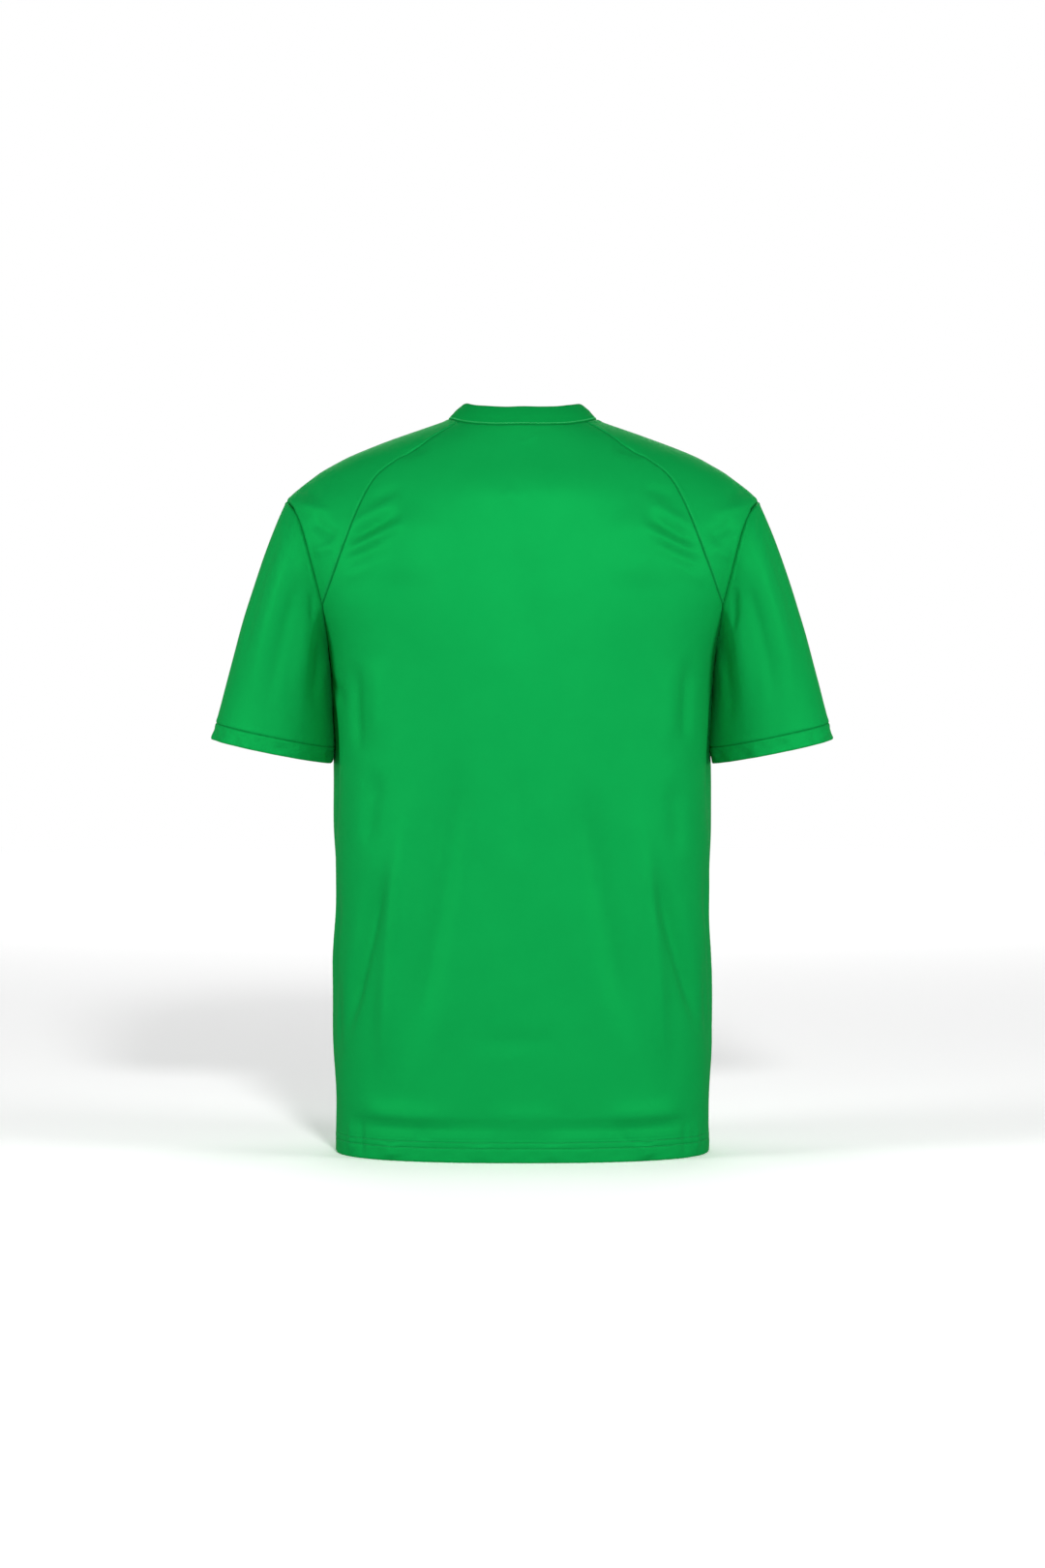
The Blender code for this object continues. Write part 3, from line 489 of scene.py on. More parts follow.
def lookup(d, h):
    """ARC at directions d (-90 to 90 degrees, in radians) and heights h."""
    a = np.clip((d - TURNS[0]) / (TURNS[1] - TURNS[0]), 0, len(TURNS) - 1.001)
    b = np.clip((h - LEVELS[0]) / (LEVELS[1] - LEVELS[0]), 0, len(LEVELS) - 1.001)
    i, j = b.astype(int), a.astype(int)
    s, t = b - i, a - j
    return (
        ARC[i, j] * (1 - s) * (1 - t) + ARC[i + 1, j] * s * (1 - t)
        + ARC[i, j + 1] * (1 - s) * t + ARC[i + 1, j + 1] * s * t
    )


def unrolled(direction, h, place):
    """Cloth coordinates: across from the place's own middle line, and up from the hem."""
    direction, h = np.broadcast_arrays(np.asarray(direction, float), np.asarray(h, float))
    side = np.where(np.cos(direction) >= 0, 1.0, -1.0)
    d = np.arctan2(np.sin(direction), np.abs(np.cos(direction)))
    along = lookup(d, h)
    if place == "back":
        across = side * (lookup(np.full_like(d, math.pi / 2), h) - along)
        return across, np.interp(h, LEVELS, UP["back"])
    if place == "front":
        return side * along, np.interp(h, LEVELS, UP["front"])
    return along - lookup(np.zeros_like(d), h), np.interp(h, LEVELS, UP["side"])


def through(p0, p1, p2, count=12):
    """A smooth curve through three points, and the share of its length at each of its points."""
    s = np.linspace(0, 1, count + 1)[:, None]
    a, b, c = (np.asarray(p, float) for p in (p0, p1, p2))
    line = a * (1 - s) * (1 - 2 * s) + 4 * b * s * (1 - s) + c * s * (2 * s - 1)
    run = lengths(line)
    return line, run / run[-1]


def fold_shape(at, line, share, half_width, height, skew=1.0, outward=1.0):
    """A fold's height at points at [n, 2] in cloth coordinates."""
    value = np.zeros(len(at))
    reach = 3.2 * half_width * max(skew, 1.0)
    lo, hi = line.min(0) - reach, line.max(0) + reach
    near = np.flatnonzero(((at > lo) & (at < hi)).all(1))
    if not len(near):
        return value
    p = at[near]
    best, place, offset = np.full(len(p), 1e9), np.zeros(len(p)), np.zeros(len(p))
    for k in range(len(line) - 1):
        a, b = line[k], line[k + 1]
        ab = b - a
        t = np.clip(((p - a) @ ab) / (ab @ ab), 0, 1)
        gap = p - (a + t[:, None] * ab)
        far = np.hypot(gap[:, 0], gap[:, 1])
        closer = far < best
        best = np.where(closer, far, best)
        place = np.where(closer, share[k] + t * (share[k + 1] - share[k]), place)
        offset = np.where(closer, gap[:, 0], offset)
    width = half_width * np.where(offset * outward > 0, skew, 1.0)
    taper = step(np.minimum(place, 1 - place), 0.0, 0.34)
    value[near] = FOLD_GAIN * height * taper * np.exp(-((best / width) ** 2))
    return value


WAVES = (
    # x, y, z waves per metre, start, share
    (9.0, 4.0, 3.0, 0.4, 0.9), (-6.0, 8.0, 6.5, 1.9, 0.8), (4.0, -9.0, 9.0, 3.3, 0.7),
    (15.0, 6.0, -5.0, 5.1, 0.5), (-12.0, 13.0, 8.0, 0.9, 0.45), (7.0, 3.0, 19.0, 2.6, 0.35),
    (24.0, -12.0, 10.0, 4.4, 0.25), (-18.0, -22.0, 15.0, 1.2, 0.2),
)


def wander(points, scale=1.0, shift=0.0):
    """A smooth uneven value about -1 to 1 over space; points in millimetres."""
    total = np.zeros(points.shape[:-1])
    for x, y, z, start, share in WAVES:
        turn = (points[..., 0] * x + points[..., 1] * y + points[..., 2] * z) * MM * scale
        total += share * np.sin(2 * math.pi * turn + start + shift * (1 + x * 0.1))
    return total / 2.0


def folds_at(direction, h):
    """Height of all folds over the smooth surface of the body."""
    shape = np.shape(direction)
    flat_d, flat_h = np.ravel(direction), np.ravel(h)
    total = np.zeros(flat_d.shape)
    cloth = {}
    for row in FOLDS:
        place, p0, h0, p1, h1, p2, h2, half_width, height, skew = row
        frame = place if place in ("back", "front") else "side"
        ps, hs = np.array([p0, p1, p2]), np.array([h0, h1, h2])
        if frame == "side":
            d = direction_at_side(ps, hs, place == "left")
        else:
            d = direction_at(ps, hs, place == "back")
        across, up = unrolled(d, hs, frame)
        if frame not in cloth:
            cloth[frame] = np.stack(unrolled(flat_d, flat_h, frame), 1)
        at = cloth[frame]
        line, share = through(*np.stack([across, up], 1))
        outward = 1.0
        if frame != "side":
            outward = 1.0 if across.mean() >= 0 else -1.0
        value = fold_shape(at, line, share, half_width, height, skew, outward)
        if frame == "side":
            wanted = np.cos(flat_d) >= 0
            value = np.where(wanted if place == "left" else ~wanted, value, 0)
        elif place == "back":
            value = value * step(np.sin(flat_d), -0.10, 0.12)
        else:
            value = value * step(-np.sin(flat_d), -0.10, 0.12)
        total += value
    points = body(flat_d, flat_h)
    total += 0.30 * wander(points) * step(flat_h, HEM, HEM + 50)
    return total.reshape(shape)


def groove_depth(points):
    """How deep a seam is pulled in, by place."""
    depth = 0.85 + 0.22 * wander(points, 3.0, 0.7)
    side = np.abs(points[..., 0])
    behind = step(points[..., 1], -10, 30)
    depth += 0.55 * behind * np.exp(-(((side - 160) / 10) ** 2 + ((points[..., 2] - 631) / 14) ** 2))
    depth += 0.35 * np.exp(-(((side - 197) / 9) ** 2 + ((points[..., 2] - 566) / 24) ** 2))
    return np.clip(depth, 0.45, 1.6)


def distance_to(points, line, reach=16.0):
    """Distance of points [..., 3] from a line of points, up to reach."""
    flat = points.reshape(-1, 3)
    found = np.full(len(flat), reach)
    lo, hi = line.min(0) - reach, line.max(0) + reach
    near = np.flatnonzero(((flat > lo) & (flat < hi)).all(1))
    a, b = line[:-1], line[1:]
    ab = b - a
    size = np.maximum((ab * ab).sum(1), 1e-12)
    for start in range(0, len(near), 1500):
        rows = near[start:start + 1500]
        p = flat[rows]
        t = np.clip(((p[:, None] - a[None]) * ab[None]).sum(2) / size, 0, 1)
        gap = p[:, None] - (a[None] + t[..., None] * ab[None])
        found[rows] = np.minimum(found[rows], np.sqrt((gap * gap).sum(2).min(1)))
    return found.reshape(points.shape[:-1])


# -------------------------------------------------------------------- seams
def seams():
    """Every seam of the wearer's left, as directions and heights."""
    split_b = [row for row in BACK_ARMHOLE if row[1] <= JUNCTION]
    split_f = [row for row in FRONT_ARMHOLE if row[1] <= JUNCTION]
    over_b = [row for row in BACK_ARMHOLE if row[1] >= JUNCTION]
    over_f = [row for row in FRONT_ARMHOLE if row[1] >= JUNCTION]
    over = np.concatenate([drawn(over_b, True), drawn(over_f, False)[::-1][1:]])
    back_raglan = np.concatenate([neck_point(BACK_RAGLAN_TURN), drawn(BACK_RAGLAN, True)])
    front_raglan = np.concatenate([neck_point(FRONT_RAGLAN_TURN), drawn(FRONT_RAGLAN, False)])
    down = spread(ROWS_RAGLAN, 235.0, 235.0)
    round_top = spread(COLS_SHOULDER, 330.0, 330.0, 0.9)
    under = spread(ROWS_UNDER)
    half = COLS_PANEL // 2
    necks = neck_point(np.linspace(BACK_RAGLAN_TURN, FRONT_RAGLAN_TURN, 120))
    back_necks = neck_point(np.linspace(BACK_RAGLAN_TURN, 90.0, 80))
    front_necks = neck_point(np.linspace(FRONT_RAGLAN_TURN, -90.0, 80))
    found = {
        "back_raglan": smooth_path(back_raglan, down, on_body),
        "front_raglan": smooth_path(front_raglan, down, on_body),
        "under_back": smooth_path(drawn(split_b, True), under, on_body),
        "under_front": smooth_path(drawn(split_f, False), under, on_body),
        "over": smooth_path(over, round_top, on_body),
        "neck_side": smooth_path(necks, round_top, on_body),
        "neck_back": smooth_path(back_necks, half_places(), on_body),
        "neck_front": smooth_path(front_necks, half_places(), on_body),
    }
    for raglan, neck_end, hole_end in (
        ("back_raglan", found["neck_side"][0], found["over"][0]),
        ("front_raglan", found["neck_side"][-1], found["over"][-1]),
    ):
        found[raglan][0], found[raglan][-1] = neck_end, hole_end
    found["under_back"][-1], found["under_front"][-1] = found["over"][0], found["over"][-1]
    found["under_back"][0] = found["under_front"][0] = (0.0, ARMPIT)
    found["neck_back"][0], found["neck_front"][0] = found["neck_side"][0], found["neck_side"][-1]
    found["side"] = np.stack([np.zeros(90), np.linspace(HEM, ARMPIT, 90)], 1)
    return found


def half_places():
    """Places of a centre panel's columns from its side to its middle."""
    whole = spread(COLS_PANEL, 560.0, 560.0, 0.7)
    half = whole[: COLS_PANEL // 2 + 1]
    return half / half[-1]


def coons(left, right, bottom, top, across):
    """A patch of directions and heights between four edges, [along left][along bottom]."""
    run = lengths(on_body(left))
    v = (run / run[-1])[:, None, None]
    u = np.asarray(across)[None, :, None]
    return (
        (1 - u) * left[:, None] + u * right[:, None]
        + (1 - v) * bottom[None] + v * top[None]
        - (1 - u) * (1 - v) * left[0] - u * (1 - v) * right[0]
        - (1 - u) * v * left[-1] - u * v * right[-1]
    )


def far_side(path):
    return np.stack([math.pi - path[:, 0], path[:, 1]], 1)


# ------------------------------------------------------------------- meshes
PIECES = {}


def link(name, points, quads, uv, seam_shades, material):
    """A mesh object from millimetre points, quads, a UV per corner and a weight of painted seam shade per vertex."""
    mesh = bpy.data.meshes.new(name)
    shifted = points - np.array([0.0, 0.0, NECK_BASE])
    p = shifted[quads]
    inside = np.einsum("ij,ij->i", p[:, 0], np.cross(p[:, 1], p[:, 2])).sum()
    inside += np.einsum("ij,ij->i", p[:, 0], np.cross(p[:, 2], p[:, 3])).sum()
    if inside < 0:
        quads, uv = quads[:, ::-1], uv[:, ::-1]
    mesh.vertices.add(len(points))
    mesh.loops.add(quads.size)
    mesh.polygons.add(len(quads))
    mesh.vertices.foreach_set("co", (shifted * MM).astype(np.float32).ravel())
    mesh.loops.foreach_set("vertex_index", quads.astype(np.int32).ravel())
    mesh.polygons.foreach_set("loop_start", np.arange(0, quads.size, 4, dtype=np.int32))
    mesh.polygons.foreach_set("use_smooth", np.ones(len(quads), bool))
    mesh.update(calc_edges=True)
    layer = mesh.uv_layers.new(name="cloth", do_init=False)
    layer.uv.foreach_set("vector", np.ascontiguousarray(uv, np.float32).ravel())
    # The seam attribute carries painted shade: it darkens the knit's colour along the seam grooves and stitch rows.
    attribute = mesh.attributes.new("seam", "FLOAT", "POINT")
    attribute.data.foreach_set("value", seam_shades.astype(np.float32).ravel())
    mesh.validate()
    mesh.materials.append(material)
    obj = bpy.data.objects.new(name, mesh)
    bpy.context.scene.collection.objects.link(obj)
    return obj


def add_shell(name, outer, inner, uv_left, uv_right, seam_shade, closed, material):
    """The closed shell between two grids of points, with its rims."""
    rows, cols = outer.shape[:2]
    points = np.concatenate([outer.reshape(-1, 3), inner.reshape(-1, 3)])
    other = rows * cols
    last = cols if closed else cols - 1
    i, j = np.meshgrid(np.arange(rows - 1), np.arange(last), indexing="ij")
    i, j = i.ravel(), j.ravel()
    k = (j + 1) % cols
    a, b, c, d = i * cols + j, i * cols + k, (i + 1) * cols + k, (i + 1) * cols + j
    uva, uvb, uvc, uvd = uv_left[i, j], uv_right[i, j], uv_right[i + 1, j], uv_left[i + 1, j]
    quads = [np.stack([a, b, c, d], 1), np.stack([d, c, b, a], 1) + other]
    uvs = [np.stack([uva, uvb, uvc, uvd], 1), np.stack([uvd, uvc, uvb, uva], 1)]
    rim = np.arange(last)
    over = (rim + 1) % cols
    for row, flip in ((0, True), (rows - 1, False)):
        a, b = row * cols + rim, row * cols + over
        ua, ub = uv_left[row, rim], uv_right[row, rim]
        quad = np.stack([a, b, other + b, other + a], 1)
        uv = np.stack([ua, ub, ub, ua], 1)
        quads.append(quad[:, ::-1] if flip else quad)
        uvs.append(uv[:, ::-1] if flip else uv)
    if not closed:
        edge = np.arange(rows - 1)
        for col, flip in ((0, False), (cols - 1, True)):
            a, b = edge * cols + col, (edge + 1) * cols + col
            source = uv_left[:, 0] if col == 0 else uv_right[:, -1]
            ua, ub = source[edge], source[edge + 1]
            quad = np.stack([a, b, other + b, other + a], 1)
            uv = np.stack([ua, ub, ub, ua], 1)
            quads.append(quad[:, ::-1] if flip else quad)
            uvs.append(uv[:, ::-1] if flip else uv)
    # Painted shade along the seams, on the outer face only.
    seam_shades = np.concatenate([seam_shade.ravel(), np.zeros(seam_shade.size)])
    # The side rims follow the faces they join.
    fixed = np.concatenate(quads)
    obj = link(name, points, fixed, np.concatenate(uvs), seam_shades, material)
    PIECES[name] = obj
    return obj


def open_uv(u, v):
    grid = np.stack([u, v], -1) * MM
    return grid[:, :-1], grid[:, 1:]


# ------------------------------------------------------------ body surfaces
def finish_body(name, grid, lines, place, welt, material):
    """Folds, seams and hem over a patch of the body, as a thin closed shell."""
    d, h = grid[..., 0], grid[..., 1]
    base, normal = body(d, h), body_normal(d, h)
    fold = folds_at(d, h)
    off = np.full(d.shape, 16.0)
    for line in lines:
        off = np.minimum(off, distance_to(base, line))
    pull = groove_depth(base)
    raised = fold - 0.75 * pull * bell(off, 0.9) - 0.20 * pull * bell(off, 4.2)
    if welt:
        raised += 0.42 * bell(off - 3.6, 2.0) * (1 + 0.35 * wander(base, 6.0, 2.0))
    # Small puckers of the thread along every seam.
    across, up = unrolled(d, h, place)
    raised += 0.10 * bell(off - 2.2, 2.4) * np.sin(base[..., 2] * 1.05 + base[..., 0] * 0.5 + 2.0 * wander(base, 8.0))
    e = h - HEM
    in_hem = step(e, HEM_TURN + 1.6, HEM_TURN - 0.8)
    raised += 0.34 * in_hem
    if place != "side":
        for row in HEM_ROWS:
            raised -= 0.42 * bell(e - row, 0.85)
            raised += 0.10 * bell(e - row, 3.0) * np.sin(across * 2 * math.pi / 6.3 + 3.0 * wander(base, 9.0, row))
        raised += 0.22 * bell(e - 8.0, 7.0) * wander(base, 5.0, 3.3)
        raised -= 0.75 * bell(e, 0.9)
    thick = CLOTH + 0.75 * step(off, ALLOWANCE + 0.8, ALLOWANCE - 0.8)
    if place != "side":
        thick = np.maximum(thick, CLOTH + 0.80 * in_hem)
    outer = base + raised[..., None] * normal
    inner = base + (fold - thick)[..., None] * normal
    if place != "side":
        inner = inner + (0.5 * bell(e, 0.7))[..., None] * normal
    left, right = open_uv(across, up)
    # Painted shade along the seams, and on the back and front along the hem's stitch rows.
    seam_shade = bell(off, 0.8)
    if place != "side":
        seam_shade = np.maximum(seam_shade, 0.55 * (bell(e - HEM_ROWS[0], 0.6) + bell(e - HEM_ROWS[1], 0.6)))
    return add_shell(name, outer, inner, left, right, seam_shade, False, material)


def centre_panel(name, found, back, lines, material):
    way = 1.0 if back else -1.0
    raglan = found["back_raglan" if back else "front_raglan"]
    under = found["under_back" if back else "under_front"]
    neck = found["neck_back" if back else "neck_front"]
    low = np.concatenate([
        HEM + np.array([0.0, 0.35, 0.8, 1.4]),
        np.linspace(HEM + 2.2, HEM + 24.0, ROWS_HEM)[:-1],
        np.linspace(HEM + 24.0, ARMPIT, ROWS_SIDE + 1),
    ])
    side = np.stack([np.zeros(len(low)), low], 1)
    left = np.concatenate([side, under[1:], raglan[::-1][1:]])
    right = np.stack([way * math.pi - left[:, 0], left[:, 1]], 1)
    half = half_places()
    across = np.concatenate([half / 2, 1 - half[::-1][1:] / 2])
    circle = np.stack([way * np.linspace(0, math.pi, 1500), np.full(1500, HEM)], 1)
    hem = smooth_path(circle[::6], across, on_body)
    hem[0], hem[-1] = left[0], right[0]
    top = np.concatenate([neck, np.stack([way * math.pi - neck[:, 0], neck[:, 1]], 1)[::-1][1:]])
    grid = coons(left, right, hem, top, across)
    return finish_body(name, grid, lines, "back" if back else "front", False, material)


def shoulder_panel(name, found, side, lines, material):
    across = spread(COLS_SHOULDER, 330.0, 330.0, 0.9)
    grid = coons(
        found["back_raglan"], found["front_raglan"], found["neck_side"], found["over"], across
    )
    if side < 0:
        grid = np.stack([math.pi - grid[..., 0], grid[..., 1]], -1)
    return finish_body(name, grid, lines, "side", True, material)


# ------------------------------------------------------------------- sleeve
def ring_point(ring, turn):
    cx, cy, h, half_width, half_depth, tilt = ring
    t = math.radians(tilt)
    c, s = np.cos(turn), np.sin(turn)
    return np.stack(
        [cx + half_width * c * math.cos(t), cy + half_depth * s, h + half_width * c * math.sin(t)], -1
    )


def ring_normal(ring, turn):
    t = math.radians(ring[5])
    c, s = np.cos(turn) / ring[3], np.sin(turn) / ring[4]
    n = np.stack([c * math.cos(t), s, c * math.sin(t)], -1)
    return n / np.linalg.norm(n, axis=-1, keepdims=True)


def ring_axis(ring):
    t = math.radians(ring[5])
    return np.array([math.sin(t), 0.0, -math.cos(t)])


def armhole_loop(found):
    """Directions and heights round the armhole, from its top round the back, and the turns."""
    over = found["over"]
    under = spread(COLS_AROUND_UNDER)
    run_b = smooth_path(found["under_back"], under, on_body)
    run_f = smooth_path(found["under_front"], under, on_body)
    fine = smooth_path(over, np.linspace(0, 1, 2 * 62 + 1), on_body)
    fine[0], fine[-1] = over[0], over[-1]
    top = 62
    path = np.concatenate([fine[top::-1], run_b[::-1][1:], run_f[1:], fine[-2:top:-1]])
    point = on_body(path)
    gap = np.linalg.norm(np.roll(point, -1, 0) - point, axis=1)
    bottom = len(fine[top::-1]) + len(run_b) - 2
    run = np.concatenate([[0], np.cumsum(gap)])
    turns = np.where(
        np.arange(len(point)) <= bottom,
        math.pi * run[:-1] / run[bottom],
        math.pi + math.pi * (run[:-1] - run[bottom]) / (run[-1] - run[bottom]),
    )
    return path, turns, bottom


def cap_value(turn, name):
    turn = np.degrees(turn)
    turn = np.where(turn > 180, 360 - turn, turn)
    return smooth(column(CAP, CAP_COLUMNS, "turn"), column(CAP, CAP_COLUMNS, name), turn)


def sleeve_lines(start, turns, places):
    end = ring_point(CUFF_SEAM, turns)
    side = np.where(turns > math.pi, -1.0, 1.0)
    leave = np.stack(
        [cap_value(turns, "out_x"), side * cap_value(turns, "out_y"), cap_value(turns, "down")], 1
    )
    leave /= np.linalg.norm(leave, axis=1, keepdims=True)
    chord = end - start
    chord /= np.linalg.norm(chord, axis=1, keepdims=True)
    arrive = 0.55 * chord + 0.45 * ring_axis(CUFF_SEAM)
    arrive /= np.linalg.norm(arrive, axis=1, keepdims=True)
    a = leave * cap_value(turns, "reach")[:, None]
    b = arrive * cap_value(turns, "landing")[:, None]
    s = np.asarray(places)[:, None, None]
    return (
        (1 + 2 * s) * (1 - s) ** 2 * start + s * (1 - s) ** 2 * a
        + s * s * (3 - 2 * s) * end + s * s * (s - 1) * b
    )


def tube_normals(rows):
    around = np.roll(rows, -1, 1) - np.roll(rows, 1, 1)
    along = np.gradient(rows, axis=0)
    normal = np.cross(around, along)
    centre = rows.mean(1, keepdims=True)
    normal /= np.linalg.norm(normal, axis=2, keepdims=True)
    return normal * np.sign(np.einsum("ijk,ijk->ij", normal, rows - centre).sum())


def tube_uv(turns, bottom, around_mm, v):
    """UVs of a tube whose pattern breaks under the arm."""
    cols = len(turns)
    degrees = np.degrees(turns)
    after = np.roll(degrees, -1)
    after[-1] = 360.0
    shift = np.where(np.arange(cols) >= bottom, 360.0, 0.0)
    left = (degrees - shift)[None] * around_mm / 360.0
    right = (after - shift)[None] * around_mm / 360.0
    v_next = np.roll(v, -1, 1)
    return (
        np.stack([np.broadcast_to(left, v.shape), v], -1) * MM,
        np.stack([np.broadcast_to(right, v.shape), v_next], -1) * MM,
    )


def sleeve_folds(turns, places, reach, side):
    degrees = np.degrees(turns)[None] + 0 * places[:, None]
    total = np.zeros(degrees.shape)
    for row in SLEEVE_FOLDS:
        which, t0, s0, t1, s1, t2, s2, half_width, height = row
        if which not in ("both", side):
            continue
        middle = np.interp(t1, np.degrees(turns), reach)
        for wrap in (0.0, -360.0, 360.0):
            at = np.stack([(degrees + wrap) * 1.1, places[:, None] * reach[None]], -1).reshape(-1, 2)
            line, share = through(
                (t0 * 1.1, s0 * middle), (t1 * 1.1, s1 * middle), (t2 * 1.1, s2 * middle)
            )
            total += 0.62 * fold_shape(at, line, share, half_width, height).reshape(degrees.shape)
    return total


def mirror(points):
    return points * np.array([-1.0, 1.0, 1.0])


def sleeve(name, found, side, material):
    path, turns, bottom = armhole_loop(found)
    seen = path if side > 0 else far_side(path)
    base = on_body(seen)
    normal = body_normal(seen[:, 0], seen[:, 1])
    edge = base + (folds_at(seen[:, 0], seen[:, 1]) - 0.95 * groove_depth(base))[:, None] * normal
    inner_edge = base + (folds_at(seen[:, 0], seen[:, 1]) - CLOTH - 0.75)[:, None] * normal
    if side < 0:
        edge, inner_edge, base = mirror(edge), mirror(inner_edge), mirror(base)
    places = spread(ROWS_SLEEVE, 200.0, 200.0, 0.8)
    smooth_rows = sleeve_lines(base, turns, places)
    reach = np.linalg.norm(np.diff(smooth_rows, axis=0), axis=2).sum(0)
    from_hole = places[:, None] * reach[None]
    from_cuff = (1 - places)[:, None] * reach[None]
    normals = tube_normals(smooth_rows)
    last = ring_normal(CUFF_SEAM, turns)
    normals[-1] = last
    world = smooth_rows if side > 0 else mirror(smooth_rows)
    fold = sleeve_folds(turns, places, reach, "l" if side > 0 else "r")
    fold += 0.28 * wander(world)
    fold *= step(from_hole, 0.0, 12.0) * step(from_cuff, 0.0, 7.0)
    pull = groove_depth(world)
    raised = fold + 0.40 * bell(from_hole - 3.8, 2.2) * (1 + 0.4 * wander(world, 6.0, 1.0))
    raised += 0.09 * bell(from_hole - 2.6, 2.4) * np.sin(world[..., 1] * 1.1 + world[..., 2] * 0.8)
    raised += 0.22 * bell(from_cuff - 3.0, 2.2) - 0.55 * bell(from_cuff, 0.8)
    raised += 0.16 * bell(from_cuff - 3.5, 3.6) * np.sin(np.degrees(turns)[None] * 0.92 + 3.0 * wander(world, 5.0, 0.3))
    # The inner side lies against the body.
    inner_turn = np.degrees(turns)[None] - 180.0
    low = AGAINST["l" if side > 0 else "r"]
    against = (3.7 - (3.7 - low) * step(from_hole, 16.0, 60.0)) * bell(inner_turn, 26.0) * step(from_hole, 0.5, 12.0)
    raised += against
    # The underarm seam.
    under = np.abs(np.degrees(turns) - 180.0)[None] * 1.1
    under = under + 0 * from_hole
    raised -= 0.8 * bell(under, 1.5)
    # The first rows go from the body's own edge to the smooth tube.
    start_shift = (edge - base)[None] * bell(from_hole, 1.1)[..., None]
    outer = smooth_rows + raised[..., None] * normals + start_shift
    thick = CLOTH + 0.70 * np.maximum(step(from_hole, 7.0, 5.0), step(from_cuff, 7.0, 5.0))
    inner = smooth_rows + (
        fold + against - thick
    )[..., None] * normals
    inner = inner + (inner_edge - (base - 1.6 * normals[0]))[None] * bell(from_hole, 2.0)[..., None]
    # Painted shade along the armhole seam, the cuff seam and the underarm seam.
    seam_shade = np.maximum(np.maximum(bell(from_hole, 0.8), 0.6 * bell(from_cuff, 0.7)), 0.7 * bell(under, 0.8))
    left, right = tube_uv(turns, bottom, 400.0, from_cuff + 20.0)
    if side < 0:
        outer, inner = mirror(outer), mirror(inner)
    return add_shell(name, outer, inner, left, right, seam_shade, True, material), turns, bottom


def cuff(name, turns, bottom, side, material):
    places = spread(ROWS_CUFF, 16.0, 16.0, 0.35)
    s = places[:, None, None]
    seam, edge = ring_point(CUFF_SEAM, turns), ring_point(CUFF_EDGE, turns)
    rows = (1 - s) * seam + s * edge
    normals = (1 - s) * ring_normal(CUFF_SEAM, turns) + s * ring_normal(CUFF_EDGE, turns)
    normals /= np.linalg.norm(normals, axis=2, keepdims=True)
    depth = float(np.linalg.norm(edge - seam, axis=1).mean())
    down, up = places[:, None] * depth, (1 - places)[:, None] * depth
    world = rows if side > 0 else mirror(rows)
    degrees = np.degrees(turns)[None]
    shift = 0.0 if side > 0 else 1.7
    raised = 0.12 - 0.67 * bell(down, 0.8) - 0.75 * bell(up, 0.9)
    raised = raised + 1.0 * wander(world, 3.4, shift) * step(down, 0.5, 9.0)
    raised = raised + 0.18 * bell(down - 3.5, 3.4) * np.sin(degrees * 0.92 + 3.0 * wander(world, 5.0, 0.3))
    low = AGAINST["l" if side > 0 else "r"]
    raised = raised + low * bell(degrees - 180.0, 26.0)
    under = np.abs(degrees - 180.0) * 1.05 + 0 * down
    raised = raised - 0.6 * bell(under, 1.5)
    thick = 1.7 - 0.45 * bell(up, 1.0)
    outer = rows + raised[..., None] * normals
    inner = rows + (
        low * bell(degrees - 180.0, 26.0) + 1.0 * wander(world, 3.4, shift) * step(down, 0.5, 9.0) - thick
    )[..., None] * normals
    # Painted shade along the cuff seam and the underarm seam.
    seam_shade = np.maximum(0.6 * bell(down, 0.7), 0.7 * bell(under, 0.8))
    left, right = tube_uv(turns, bottom, 400.0, up + 2.0 + 0 * degrees)
    if side < 0:
        outer, inner = mirror(outer), mirror(inner)
    return add_shell(name, outer, inner, left, right, seam_shade, True, material)


# ------------------------------------------------------------------- collar
def collar_lean(direction):
    turn = np.degrees(np.arctan2(np.sin(direction), np.abs(np.cos(direction))))
    return np.radians(
        smooth(column(COLLAR_LEAN, LEAN_COLUMNS, "direction"), column(COLLAR_LEAN, LEAN_COLUMNS, "lean"), turn)
    )


def neck_ring(count_back=44, count_side=64, count_front=50):
    """The whole neck seam, as directions and heights, from the centre back round the left."""
    back = smooth_path(neck_point(np.linspace(90, BACK_RAGLAN_TURN, 80)), np.linspace(0, 1, count_back + 1), on_body)
    side = smooth_path(
        neck_point(np.linspace(BACK_RAGLAN_TURN, FRONT_RAGLAN_TURN, 120)), np.linspace(0, 1, count_side + 1), on_body
    )
    front = smooth_path(neck_point(np.linspace(FRONT_RAGLAN_TURN, -90, 80)), np.linspace(0, 1, count_front + 1), on_body)
    left = np.concatenate([back, side[1:], front[1:]])
    return np.concatenate([left, far_side(left)[::-1][1:-1]])


def collar_frame(path):
    base = on_body(path)
    normal = body_normal(path[:, 0], path[:, 1])
    lean = collar_lean(path[:, 0])
    inward = np.stack([-base[:, 0], NECK_CENTRE_Y - base[:, 1], np.zeros(len(base))], 1)
    inward /= np.linalg.norm(inward, axis=1, keepdims=True)
    up = np.array([0.0, 0.0, 1.0])
    along = np.sin(lean)[:, None] * inward + np.cos(lean)[:, None] * up
    out = np.cos(lean)[:, None] * -inward + np.sin(lean)[:, None] * up
    edge = base + (folds_at(path[:, 0], path[:, 1]) - 0.95 * groove_depth(base))[:, None] * normal
    return base, edge, along, out


